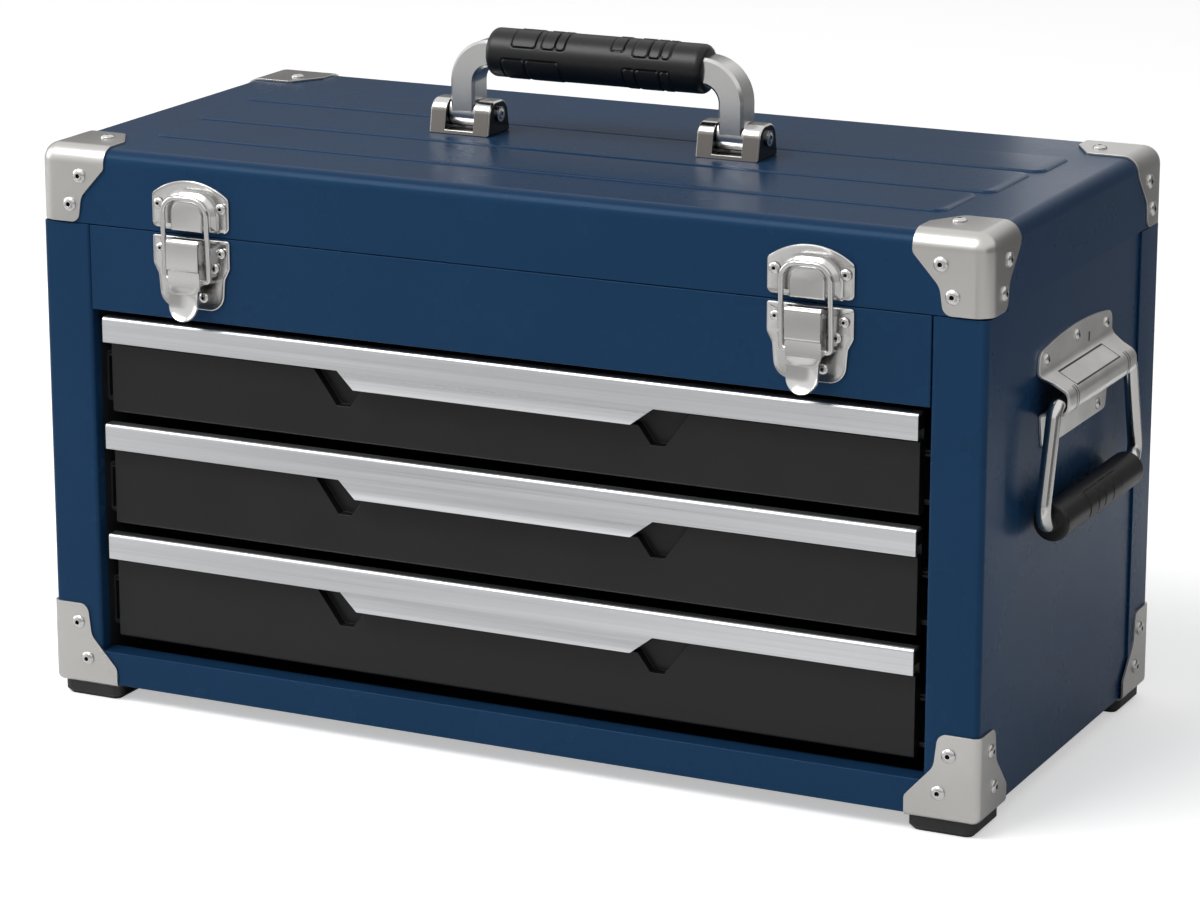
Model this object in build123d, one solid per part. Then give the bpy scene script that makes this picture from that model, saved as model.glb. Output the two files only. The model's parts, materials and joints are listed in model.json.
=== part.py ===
from build123d import *
import os
from math import acos, cos, degrees, radians, sin

# Portable steel tool box: three drawers, a lidded top tray, a carrying handle and two side handles.
# Millimetres. +X is right seen from the front, -Y is the front, +Z is up. The pieces are modelled
# with the case centred on the Z axis, and moved at the end so that the origin lies under the middle
# of the whole box, on the plane that the feet stand on.

# ---- Overall sizes ---------------------------------------------------------------------------
CASE_W = 520.0  # over the corner posts
CASE_D = 247.0  # front face to back face
CASE_H = 247.5  # underside of the case to the seam under the lid
LID_H = 39.5  # seam to the top of the lid
FOOT_H = 8.0
SHEET = 1.2  # steel of the case, posts and lid
CAP_T = 1.2  # steel of the corner protectors
SEAM_GAP = 0.5  # lid rim above the case rim
RUN_GAP = 0.4  # between pieces that slide or swing past each other

# ---- Case front ------------------------------------------------------------------------------
POST_LEG = 28.0  # each leg of an L-shaped corner post
POST_RETURN = 8.0  # flange of a front post, beside the drawers
POST_BEND = 2.0  # inner radius of a post's corner
TOP_RAIL_H = 44.5
BOTTOM_RAIL_H = 18.0
RAIL_DEPTH = 12.0
RAIL_FIT = 0.25  # between a rail and the post beside it
EDGE_ROUND = 0.7
TRAY_FLOOR_DROP = 43.2  # seam to the floor of the top tray

# ---- Drawers, from the top one down ------------------------------------------------------------
DRAWER_NAMES = ("upper", "middle", "lower")
DRAWER_GAPS = (3.5, 5.0, 4.5)  # above each drawer
DRAWER_FACE_H = (52.0, 55.0, 57.5)
DRAWER_LAST_GAP = 7.5  # below the lowest drawer
PULL_END_GAP = 6.0  # pull's end to the post beside it
PULL_BAND_H = 13.5
PULL_LIP_DROP = 8.5  # how far the middle of the pull hangs below its band
PULL_LIP_TOP_W = 176.0
PULL_LIP_BOTTOM_W = 154.0
PULL_LIP_LEAN = 3.0
PULL_SHELF = 7.0  # depth of the pull's top leg
PULL_T = 1.8
FACE_END_GAP = 7.2
FACE_SETBACK = 6.3  # front of the black face behind the front of the pull
FACE_PAD_T = 5.0
FACE_BACK_T = 1.7
FACE_NOSE_H = 8.0  # part of the face that the pull is clipped over
NOTCH_OUTER_TOP = 104.5  # distances from the middle of the drawer
NOTCH_OUTER_BOTTOM = 91.5
NOTCH_INNER_BOTTOM = 84.0
NOTCH_INNER_TOP = 77.0
NOTCH_DEPTH = 20.0  # below the pull's band
PULL_SHADOW = 2.0  # open line between the pull and the face under it
TRAY_END_GAP = 10.0
TRAY_WALL = 1.0
TRAY_TOP_DROP = 12.0  # top of the pull to the rim of the drawer's tray
TRAY_REAR_ROOM = 9.0

# ---- Drawer runners --------------------------------------------------------------------------
RUNNER_H = 27.0
RUNNER_T = 1.2
RUNNER_RISE = 16.0  # runner's middle above the underside of the tray
RUNNER_FRONT = 15.0  # behind the front of the case
RUNNER_REAR = 17.0

# ---- Lid and its hinge -------------------------------------------------------------------------
LID_ROUND = 8.0
LID_CORNER_ROUND = 8.0
LID_HEM_H = 8.0
PAD_RISE = 1.0  # pressed fields of the lid top
PAD_EDGES = ((44.0, 91.0), (95.0, 149.0), (153.0, 194.0))  # from the front of the lid
PAD_MARGINS = (40.0, 34.0, 30.0)  # from the ends of the lid
PAD_CORNER = 7.0
KNUCKLE_R = 2.6
HINGE_PIN_R = 1.3
HINGE_PIN_FIT = 0.1
HINGE_KNUCKLES = 9
HINGE_MARGIN = 44.0  # from each end of the hinge to the end of the case
LEAF_T = 1.0
LEAF_H = 20.0

# ---- Lid stays: each arm turns on the lid and slides on a stud in the case ---------------------
LID_OPEN = 90.0
STAY_R = 32.0  # from the lid's hinge line to the arm's pivot and to the stud alike
STAY_LID_ANGLE = 44.0  # pivot above the horizontal through the hinge line
STAY_CASE_ANGLE = 7.0  # stud below it
STAY_T = 1.6
STAY_HALF_W = 5.2
STAY_PIN_R = 2.3
STAY_HEAD_R = 4.4
STAY_HEAD_T = 1.4

# ---- Corner protectors -------------------------------------------------------------------------
LID_CAP_LEG = 39.5
LID_CAP_WAIST = 25.5
LID_CAP_STRAIGHT = 11.0  # full-width part of a leg
LID_CAP_TOP_LEG = 40.0
BASE_CAP_LEG = 38.5
BASE_CAP_WAIST = 23.5
BASE_CAP_H = 44.0
BASE_CAP_STRAIGHT = 10.5
CAP_EDGE = 3.0  # rounding outside the bottom edges of a base protector
RIVET_R = 3.7
RIVET_H = 1.8
RIVET_SIDES = 12

# ---- Latches -----------------------------------------------------------------------------------
LATCH_INSET = 89.5  # from the end of the case to the middle of a latch
LATCH_W = 45.0
LATCH_PLATE_T = 1.6
STRIKE_LOW = 3.0  # heights are from the seam
STRIKE_SIDE_TOP = 20.5
STRIKE_APEX = 28.5
STRIKE_DOME_W = 31.0
STRIKE_DOME_TOP = 22.5
STRIKE_DOME_T = 1.8
BOSS_W = 18.6
BOSS_TOP = 18.4
BOSS_PROUD = 5.5
BASE_TOP = -0.8
BASE_WAIST_TOP = -15.5
BASE_WAIST_LOW = -21.0
BASE_WAIST_HALF_W = 19.6
BASE_LOW = -38.0
LEVER_HALF_W = 9.2
LEVER_SHEET = 1.2
LEVER_PIVOT_OUT = 6.3  # distances out of the case's front
LEVER_PIVOT_Z = -4.2
LEVER_FACE_OUT = 10.5
LEVER_STEP_OUT = 9.3
LEVER_TIP_OUT = 12.5
LEVER_TOP = -0.5
LEVER_STEP_Z = -16.0
LEVER_NECK_Z = -24.0
LEVER_TIP_Z = -42.0
TONGUE_HALF_W = 8.2
LATCH_PIN_R = 1.25
EAR_R = 2.1
EAR_INNER = 5.6  # an ear of the base, from the latch's middle
EAR_OUTER = 7.2
EAR_FOOT_H = 4.0
BAIL_R = 1.4
BAIL_HALF_W = 12.8
BAIL_TOP = 20.4
BAIL_FOOT_Z = -22.0
BAIL_FOOT_OUT = 5.6

# ---- Carrying handle ---------------------------------------------------------------------------
HANDLE_SPAN = 152.0  # between the middles of its two brackets
HANDLE_PIVOT_H = 10.5  # above the lid's pressed field
GRIP_AXIS_H = 43.0
GRIP_R = 13.0
GRIP_L = 122.0
ARM_W = 14.0
ARM_D = 16.0
ARM_FOOT_R = 7.8
ARM_FOOT_W = 15.5
BOW_OUTER_R = 23.0
BOW_INNER_R = 9.0
BRACKET_W = 35.0
BRACKET_D = 25.0
BRACKET_H = 17.5
BRACKET_BASE_T = 2.2
HANDLE_PIN_R = 2.5
HANDLE_PIN_FIT = 0.1

# ---- Side handles ------------------------------------------------------------------------------
SIDE_PLATE_L = 105.0
SIDE_PLATE_T = 1.5
SIDE_PLATE_TOP = -27.0  # heights are from the seam
SIDE_PLATE_ARCH = 4.5  # rise of its top edge
SIDE_PLATE_LOW = -80.5
SIDE_PIVOT_Z = -56.0
SIDE_SHOULDER_H = 8.0  # rise of the slope from the tunnel back to the panel
SIDE_BARREL_L = 98.0
SIDE_WIRE_R = 3.75
SIDE_GRIP_R = 9.6
SIDE_GRIP_L = 112.0
SIDE_GRIP_Z = -114.0
SIDE_TOP_HALF = 55.0
SIDE_LOW_HALF = 70.0
SIDE_GRIP_GAP = 0.9  # between the hanging grip and the panel

# ---- Planes of the box, worked out from the sizes above ------------------------------------------
HALF_W = CASE_W / 2
FRONT = -CASE_D / 2
BACK = CASE_D / 2
BASE_Z = FOOT_H + CAP_T
SEAM_Z = BASE_Z + CASE_H
LID_TOP = SEAM_Z + LID_H
PAD_TOP = LID_TOP + PAD_RISE
OPEN_HALF = HALF_W - POST_LEG  # half the width of the drawer opening
OPEN_H = CASE_H - TOP_RAIL_H - BOTTOM_RAIL_H
PULL_W = 2 * (OPEN_HALF - PULL_END_GAP)
FACE_W = 2 * (OPEN_HALF - FACE_END_GAP)
TRAY_HALF_W = OPEN_HALF - TRAY_END_GAP
DRAWER_SCALE = OPEN_H / (sum(DRAWER_GAPS) + sum(DRAWER_FACE_H) + DRAWER_LAST_GAP)
HINGE_PITCH = (CASE_W - 2 * HINGE_MARGIN) / HINGE_KNUCKLES
LATCH_X = HALF_W - LATCH_INSET
PANEL_X = HALF_W - SHEET  # outer face of the side panels, inside the posts
INNER_X = PANEL_X - SHEET
PANEL_BACK = BACK - SHEET
INNER_BACK = PANEL_BACK - SHEET
TRAY_FLOOR_Z = SEAM_Z - TRAY_FLOOR_DROP
HINGE_Y = BACK + KNUCKLE_R
HINGE_Z = SEAM_Z + SEAM_GAP / 2
FRONT_PROUD = LEVER_TIP_OUT
REAR_PROUD = 2 * KNUCKLE_R
CENTRE_SHIFT = (FRONT_PROUD - REAR_PROUD) / 2

parts = {}


# ---- Helpers -------------------------------------------------------------------------------------
def block(x, y, z):
    """Box between the low and high ends given for each axis."""
    size = Box(x[1] - x[0], y[1] - y[0], z[1] - z[0])
    return Pos((x[0] + x[1]) / 2, (y[0] + y[1]) / 2, (z[0] + z[1]) / 2) * size


def rod_x(x, y, z, radius):
    """Round rod along X between two ends."""
    return Pos((x[0] + x[1]) / 2, y, z) * Rot(0, 90, 0) * Cylinder(radius, x[1] - x[0])


def left_right(shape):
    """A right-hand piece and its mirror image on the left."""
    return shape, mirror(shape, about=Plane.YZ)


def front_rear(shape):
    """A front piece and its mirror image at the rear."""
    return shape, mirror(shape, about=Plane.XZ)


def outline(points, radii):
    """Face inside an open path with rounded corners, closed by a straight line."""
    path = FilletPolyline(*points, radius=radii)
    return make_face(path + Line(path @ 1, path @ 0))


def strip(points, thickness, bends):
    """Section of a folded sheet that lies on the left of the path, with an inner radius per fold."""
    path = [Vector(*point) for point in points]
    normals = []
    for start, end in zip(path, path[1:]):
        heading = (end - start).normalized()
        normals.append(Vector(-heading.Y, heading.X))
    offset_path = [path[0] + normals[0] * thickness]
    near_radii = []
    far_radii = []
    for corner, before, after, bend in zip(path[1:-1], normals, normals[1:], bends):
        offset_path.append(corner + (before + after) * (thickness / (1 + before.dot(after))))
        turns_left = before.cross(after).Z > 0
        near_radii.append(bend + thickness if turns_left else bend)
        far_radii.append(bend if turns_left else bend + thickness)
    offset_path.append(path[-1] + normals[-1] * thickness)
    near = FilletPolyline(*path, radius=near_radii)
    far = FilletPolyline(*offset_path, radius=far_radii)
    return make_face(near + Line(near @ 1, far @ 1) + far + Line(far @ 0, near @ 0))


def plan(face, z):
    """Prism of a section in X and Y between two heights."""
    return extrude(Plane.XY.offset(z[0]) * face, amount=z[1] - z[0])


def side_section(face, x):
    """Prism of a section in Y and Z between two places along X."""
    return extrude(Plane.YZ.offset(x[0]) * face, amount=x[1] - x[0])


def front_section(face, y):
    """Prism of a section in X and Z between two places along Y."""
    return extrude(Plane.XZ.offset(-y[1]) * face, amount=y[1] - y[0])


def open_pan(x, y, z, wall, corner):
    """Sheet pan that is open at the top, with rounded upright corners."""
    outer = fillet(block(x, y, z).edges().filter_by(Axis.Z), corner)
    inside_x = (x[0] + wall, x[1] - wall)
    inside_y = (y[0] + wall, y[1] - wall)
    inner = block(inside_x, inside_y, (z[0] + wall, z[1] + wall))
    return outer - fillet(inner.edges().filter_by(Axis.Z), corner - wall)


def rivet(at, facing, radius=RIVET_R, height=RIVET_H):
    """Low rivet head of few sides, narrower at its crown, standing on a face."""
    foot_ring = RegularPolygon(radius, RIVET_SIDES)
    crown_ring = Pos(0, 0, height) * RegularPolygon(radius * 0.6, RIVET_SIDES)
    head = loft([foot_ring, crown_ring])
    return Plane(origin=at, z_dir=facing) * head


# ---- Case ----------------------------------------------------------------------------------------
def case_wrapper():
    """Left side, back and right side, folded from one sheet."""
    start = FRONT + SHEET + POST_BEND + RAIL_FIT
    path = [(PANEL_X, start), (PANEL_X, PANEL_BACK), (-PANEL_X, PANEL_BACK), (-PANEL_X, start)]
    return plan(strip(path, SHEET, [0.8, 0.8]), (BASE_Z, SEAM_Z))


def base_pan():
    """Bottom of the case, with flanges up inside the wrapper."""
    depth = (FRONT + RAIL_DEPTH, INNER_BACK)
    pan = open_pan((-INNER_X, INNER_X), depth, (BASE_Z, BASE_Z + 14.0), SHEET, 2.0)
    slot = block((OPEN_HALF, OPEN_HALF + 6.0), (depth[0] - 1, depth[0] + 3.0), (BASE_Z + SHEET, SEAM_Z))
    return pan - slot - mirror(slot, about=Plane.YZ)


def top_tray():
    """Floor of the compartment under the lid, with a high flange behind the top rail."""
    depth = (FRONT + RAIL_DEPTH, INNER_BACK)
    low = TRAY_FLOOR_Z - SHEET
    pan = open_pan((-INNER_X, INNER_X), depth, (low, SEAM_Z - 0.2), SHEET, 2.0)
    flange_top = TRAY_FLOOR_Z + 12.0
    return pan - block((-HALF_W, HALF_W), (depth[0] + SHEET, BACK), (flange_top, SEAM_Z + 1))


def rail(z):
    """Front rail between the posts: a shallow pan whose open side faces the back."""
    reach = OPEN_HALF - RAIL_FIT
    outer = block((-reach, reach), (FRONT, FRONT + RAIL_DEPTH), z)
    front_edges = outer.faces().sort_by(Axis.Y)[0].edges()
    inside_x = (-reach + SHEET, reach - SHEET)
    inner = block(inside_x, (FRONT + SHEET, FRONT + RAIL_DEPTH + 1), (z[0] + SHEET, z[1] - SHEET))
    return fillet(front_edges, EDGE_ROUND) - inner


def front_post():
    """Front right post: side leg, front leg and a flange turned in beside the drawers."""
    path = [(OPEN_HALF, FRONT + POST_RETURN), (OPEN_HALF, FRONT), (HALF_W, FRONT), (HALF_W, FRONT + POST_LEG)]
    return plan(strip(path, SHEET, [0.8, POST_BEND]), (BASE_Z, SEAM_Z))


def rear_post():
    """Rear right post: side leg and back leg."""
    path = [(HALF_W, BACK - POST_LEG), (HALF_W, BACK), (OPEN_HALF, BACK)]
    return plan(strip(path, SHEET, [POST_BEND]), (BASE_Z, SEAM_Z))


def runner_liner():
    """Right inner panel that carries the runners, from the post's flange to the rear of the side."""
    rear = INNER_BACK - 10.0
    face_x = OPEN_HALF + SHEET
    path = [(INNER_X - SHEET, rear), (face_x, rear), (face_x, FRONT + SHEET + 2.0)]
    section = strip(path, SHEET, [1.0])
    return plan(section, (BASE_Z + SHEET, TRAY_FLOOR_Z - SHEET))


# ---- Drawer places -------------------------------------------------------------------------------
def face_height(index):
    """Height of a drawer's face, as a share of the opening."""
    return DRAWER_FACE_H[index] * DRAWER_SCALE


def pull_top(index):
    """Height of the top of a drawer's pull, below the top rail and the drawers above it."""
    above = sum(DRAWER_GAPS[: index + 1]) + sum(DRAWER_FACE_H[:index])
    return BASE_Z + CASE_H - TOP_RAIL_H - above * DRAWER_SCALE


def tray_low(index):
    """Height of the underside of a drawer's tray."""
    return pull_top(index) - face_height(index) + 1.0


def runner_z(index):
    """Height of the middle of a drawer's runners."""
    return tray_low(index) + RUNNER_RISE


def case_channel(index):
    """Right fixed channel of a pair of runners, open towards the drawer."""
    web = OPEN_HALF + SHEET
    half = RUNNER_H / 2
    tip = TRAY_HALF_W + 0.8
    path = [(tip, -half), (web, -half), (web, half), (tip, half)]
    section = Pos(0, runner_z(index)) * strip(path, RUNNER_T, [0.5, 0.5])
    return front_section(section, (FRONT + RUNNER_FRONT, BACK - RUNNER_REAR))


def drawer_runner(index):
    """Right moving channel, fixed to the drawer and running inside the case's channel."""
    half = RUNNER_H / 2 - RUNNER_T - RUN_GAP
    tip = OPEN_HALF - RUN_GAP - 0.2
    path = [(tip, half), (TRAY_HALF_W, half), (TRAY_HALF_W, -half), (tip, -half)]
    section = Pos(0, runner_z(index)) * strip(path, RUNNER_T, [0.5, 0.5])
    return front_section(section, (FRONT + RUNNER_FRONT - 1.0, BACK - RUNNER_REAR - 1.0))


def drawer_tray(index):
    """Open steel tray behind the drawer's face."""
    depth = (FRONT + FACE_SETBACK + FACE_PAD_T + FACE_BACK_T, INNER_BACK - TRAY_REAR_ROOM)
    height = (tray_low(index), pull_top(index) - TRAY_TOP_DROP)
    return open_pan((-TRAY_HALF_W, TRAY_HALF_W), depth, height, TRAY_WALL, 3.0)


def face_outline(low, top):
    """Right half of the raised pad of a drawer's face, with its finger notch."""
    shelf = top - PULL_BAND_H - PULL_SHADOW
    lip_shelf = top - PULL_BAND_H - PULL_LIP_DROP - PULL_SHADOW
    notch_low = top - PULL_BAND_H - NOTCH_DEPTH
    points = [
        (0, low),
        (FACE_W / 2, low),
        (FACE_W / 2, shelf),
        (NOTCH_OUTER_TOP, shelf),
        (NOTCH_OUTER_BOTTOM, notch_low),
        (NOTCH_INNER_BOTTOM, notch_low),
        (NOTCH_INNER_TOP, lip_shelf),
        (0, lip_shelf),
    ]
    return make_face(Polyline(*points, close=True))


def drawer_face(index):
    """Black moulded face: a flat back, a raised pad with two notches and a nose under the pull."""
    top = pull_top(index)
    low = top - face_height(index)
    half = FACE_W / 2
    pad_front = FRONT + FACE_SETBACK
    pad_back = pad_front + FACE_PAD_T
    back = pad_back + FACE_BACK_T
    half_pad = front_section(face_outline(low, top), (pad_front, pad_back))
    pad = half_pad + mirror(half_pad, about=Plane.YZ)
    rim = pad.faces().sort_by(Axis.Y)[0].edges()
    pad = fillet(rim.group_by(Axis.Z)[0], 1.6)
    nose_top = top - PULL_T
    nose = block((-half, half), (FRONT + PULL_T, pad_back), (nose_top - FACE_NOSE_H, nose_top))
    nose = fillet(nose.faces().sort_by(Axis.Y)[0].edges().group_by(Axis.Z)[-1], 0.8)
    return pad + block((-half, half), (pad_back, back), (low, nose_top)) + nose


def drawer_pull(index):
    """Aluminium pull: a band with a shelf on top, and a lip that leans out in the middle."""
    top = pull_top(index)
    half = PULL_W / 2
    low = top - PULL_BAND_H
    path = [(FRONT + PULL_SHELF, top), (FRONT, top), (FRONT, low)]
    band = side_section(strip(path, PULL_T, [0.3]), (-half, half))
    tip = low - PULL_LIP_DROP
    lean = FRONT - PULL_LIP_LEAN
    lip_path = Polyline((FRONT, low), (FRONT + PULL_T, low), (lean + PULL_T, tip), (lean, tip), close=True)
    lip = side_section(make_face(lip_path), (-PULL_LIP_TOP_W / 2, PULL_LIP_TOP_W / 2))
    ends = Polyline(
        (-PULL_LIP_TOP_W / 2, low),
        (PULL_LIP_TOP_W / 2, low),
        (PULL_LIP_BOTTOM_W / 2, tip),
        (-PULL_LIP_BOTTOM_W / 2, tip),
        close=True,
    )
    trapezoid = front_section(make_face(ends), (lean, FRONT + PULL_T))
    return band + (lip & trapezoid)


# ---- Corner protectors -----------------------------------------------------------------------------
def leg_outline(leg, waist, straight, height):
    """Outline of one leg from its full width at the corner's end to its narrow end."""
    shoulder = straight + (leg - waist) * 1.1
    points = [(0, 0), (-leg, 0), (-leg, straight), (-waist, shoulder), (-waist + 2.0, height), (0, height)]
    return outline(points, [1.5, 4.0, 9.0, 5.0])


def protector(leg, waist, straight, height, plate, upright, edge_in, edge_out):
    """Drawn corner: front leg, side leg and a plate, on the octant -X, +Y, +Z of the origin."""
    reach = max(leg, plate)
    round_out = max(upright + CAP_T, edge_out)
    outer = rounded_octant(reach, height, 0, upright + CAP_T, edge_out)
    inner = rounded_octant(reach + 1, height + 1, CAP_T, upright, edge_in)
    section = leg_outline(leg, waist, straight, height)
    front_leg = front_section(section, (0, round_out))
    side_leg = extrude(Plane(origin=(0, 0, 0), x_dir=(0, -1, 0), z_dir=(-1, 0, 0)) * section, amount=round_out)
    nip = plate * 0.42
    flap = [(0, 0), (-leg, 0), (-leg, plate - nip * 1.1), (-leg + nip * 0.65, plate), (0, plate)]
    floor = plan(outline(flap, [1.5, 5.0, 5.0]), (0, round_out))
    return (outer - inner) & (front_leg + side_leg + floor)


def rounded_octant(reach, height, inset, upright, edge):
    """Block with one corner near the origin, rounded along the upright and the two bottom edges."""
    solid = block((-reach, -inset), (inset, reach), (inset, height))
    solid = fillet(solid.edges().filter_by(Axis.Z).sort_by_distance((0, 0, 0))[0], upright)
    if edge == 0:
        return solid
    bottom = solid.faces().sort_by(Axis.Z)[0].edges()
    chain = [e for e in bottom if (e @ 0.5).X > -reach + 0.01 and (e @ 0.5).Y < reach - 0.01]
    return fillet(chain, edge)


# ---- Latches ---------------------------------------------------------------------------------------
def out(distance):
    """Y of a point that stands this far out of the case's front."""
    return FRONT - distance


def latch_strike():
    """Plate on the lid with a domed step and the boss that the bail closes over."""
    half = LATCH_W / 2
    low = SEAM_Z + STRIKE_LOW
    side_top = SEAM_Z + STRIKE_SIDE_TOP
    arch = ThreePointArc((-half, side_top), (0, SEAM_Z + STRIKE_APEX), (half, side_top))
    edge = arch + Polyline((half, side_top), (half, low), (-half, low), (-half, side_top))
    plate_face = fillet(make_face(edge).vertices(), 3.2)
    plate = front_section(plate_face, (out(LATCH_PLATE_T), FRONT))
    plate = chamfer(plate.faces().sort_by(Axis.Y)[0].edges(), 0.5)
    dome = arched(STRIKE_DOME_W, low + 1.0, SEAM_Z + STRIKE_DOME_TOP, 12.0)
    dome = front_section(dome, (out(LATCH_PLATE_T + STRIKE_DOME_T), out(LATCH_PLATE_T)))
    dome = chamfer(dome.faces().sort_by(Axis.Y)[0].edges(), STRIKE_DOME_T * 0.8, STRIKE_DOME_T * 1.2)
    boss = arched(BOSS_W, low, SEAM_Z + BOSS_TOP, 7.0)
    boss = front_section(boss, (out(BOSS_PROUD), out(LATCH_PLATE_T)))
    boss = fillet(boss.faces().sort_by(Axis.Y)[0].edges(), 1.0)
    return Pos(LATCH_X, 0, 0) * (plate + dome + boss)


def arched(width, low, top, radius):
    """Upright outline with rounded upper corners."""
    half = width / 2
    return outline([(-half, low), (-half, top), (half, top), (half, low)], [radius, radius])


def latch_base():
    """Plate on the top rail, waisted towards its foot, with two ears for the lever's pin."""
    half = LATCH_W / 2
    z = SEAM_Z
    points = [
        (0, z + BASE_TOP),
        (half, z + BASE_TOP),
        (half, z + BASE_WAIST_TOP),
        (BASE_WAIST_HALF_W, z + BASE_WAIST_LOW),
        (BASE_WAIST_HALF_W - 1.4, z + BASE_LOW),
        (0, z + BASE_LOW),
    ]
    half_plate = front_section(outline(points, [1.5, 4.5, 4.5, 9.0]), (out(LATCH_PLATE_T), FRONT))
    plate = half_plate + mirror(half_plate, about=Plane.YZ)
    plate = chamfer(plate.faces().sort_by(Axis.Y)[0].edges(), 0.5)
    pivot = (out(LEVER_PIVOT_OUT), z + LEVER_PIVOT_Z)
    reach = LEVER_PIVOT_OUT - LATCH_PLATE_T
    tangent = EAR_R * cos(radians(45))
    foot_path = [(tangent, -tangent), (reach, -reach), (reach, -reach - EAR_FOOT_H), (-tangent, -tangent)]
    foot_face = Pos(pivot[0], pivot[1]) * make_face(Polyline(*foot_path, close=True))
    foot = side_section(foot_face, (EAR_INNER, EAR_OUTER))
    ear = foot + rod_x((EAR_INNER, EAR_OUTER), pivot[0], pivot[1], EAR_R)
    ear = ear - rod_x((EAR_INNER - 1, EAR_OUTER + 1), pivot[0], pivot[1], LATCH_PIN_R)
    return Pos(LATCH_X, 0, 0) * (plate + ear + mirror(ear, about=Plane.YZ))


def latch_pin():
    """Pin through the base's ears and the lever's cheeks."""
    reach = LEVER_HALF_W + 0.5
    return rod_x((LATCH_X - reach, LATCH_X + reach), out(LEVER_PIVOT_OUT), SEAM_Z + LEVER_PIVOT_Z, LATCH_PIN_R)


def latch_lever():
    """Folded lever: a hooded front in two steps, two cheeks and a tongue that turns out."""
    z = SEAM_Z
    front_path = [
        (out(LEVER_PIVOT_OUT + 0.6), z + LEVER_TOP),
        (out(LEVER_FACE_OUT), z + LEVER_TOP),
        (out(LEVER_FACE_OUT), z + LEVER_STEP_Z),
        (out(LEVER_STEP_OUT), z + LEVER_STEP_Z - 1.2),
        (out(LEVER_STEP_OUT), z + LEVER_NECK_Z),
        (out(LEVER_TIP_OUT), z + LEVER_TIP_Z),
    ]
    hood_section = strip(front_path, LEVER_SHEET, [1.3, 0.3, 0.3, 3.0])
    front = side_section(hood_section, (-LEVER_HALF_W, LEVER_HALF_W))
    tongue_points = [
        (-LEVER_HALF_W, z + 1),
        (-LEVER_HALF_W, z + LEVER_NECK_Z),
        (-TONGUE_HALF_W, z + LEVER_NECK_Z - 3),
        (-TONGUE_HALF_W, z + LEVER_TIP_Z),
        (TONGUE_HALF_W, z + LEVER_TIP_Z),
        (TONGUE_HALF_W, z + LEVER_NECK_Z - 3),
        (LEVER_HALF_W, z + LEVER_NECK_Z),
        (LEVER_HALF_W, z + 1),
    ]
    tongue_radii = [1.0, 1.0, TONGUE_HALF_W - 0.1, TONGUE_HALF_W - 0.1, 1.0, 1.0]
    tongue = front_section(outline(tongue_points, tongue_radii), (out(LEVER_TIP_OUT + 1), FRONT))
    cheek_points = [
        (out(LEVER_FACE_OUT - 1.0), z + LEVER_PIVOT_Z),
        (out(LEVER_FACE_OUT - 1.0), z + LEVER_STEP_Z),
        (out(LEVER_STEP_OUT - 1.0), z + LEVER_NECK_Z),
        (out(BAIL_FOOT_OUT - 2.4), z + LEVER_NECK_Z),
        (out(BAIL_FOOT_OUT - 2.4), z + LEVER_PIVOT_Z),
        (out(LEVER_PIVOT_OUT - 2.0), z + LEVER_PIVOT_Z + 2.6),
        (out(LEVER_PIVOT_OUT + 1.5), z + LEVER_PIVOT_Z + 3.2),
    ]
    cheek_face = make_face(Polyline(*cheek_points, close=True))
    cheek = side_section(cheek_face, (LEVER_HALF_W - LEVER_SHEET, LEVER_HALF_W))
    cheek = cheek - rod_x((0, HALF_W), out(LEVER_PIVOT_OUT), z + LEVER_PIVOT_Z, LATCH_PIN_R + 0.1)
    cheek = cheek - rod_x((0, HALF_W), out(BAIL_FOOT_OUT), z + BAIL_FOOT_Z, BAIL_R + 0.1)
    return Pos(LATCH_X, 0, 0) * ((front & tongue) + cheek + mirror(cheek, about=Plane.YZ))


def latch_bail():
    """Round wire loop hung in the lever's cheeks, just in front of the strike's boss."""
    top_out = BOSS_PROUD + RUN_GAP + BAIL_R
    foot = Vector(LATCH_X, out(BAIL_FOOT_OUT), SEAM_Z + BAIL_FOOT_Z)
    rise = Vector(0, BAIL_FOOT_OUT - top_out, BAIL_TOP - BAIL_FOOT_Z)
    plane = Plane(origin=foot, x_dir=(1, 0, 0), z_dir=Vector(1, 0, 0).cross(rise))
    end = LEVER_HALF_W - LEVER_SHEET - 0.6
    points = [
        (-end, 0),
        (-BAIL_HALF_W, 0),
        (-BAIL_HALF_W, rise.length),
        (BAIL_HALF_W, rise.length),
        (BAIL_HALF_W, 0),
        (end, 0),
    ]
    path = plane * FilletPolyline(*points, radius=[2.0, 8.5, 8.5, 2.0])
    return sweep(Plane(origin=path @ 0, z_dir=path % 0) * Circle(BAIL_R), path=path)


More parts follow.
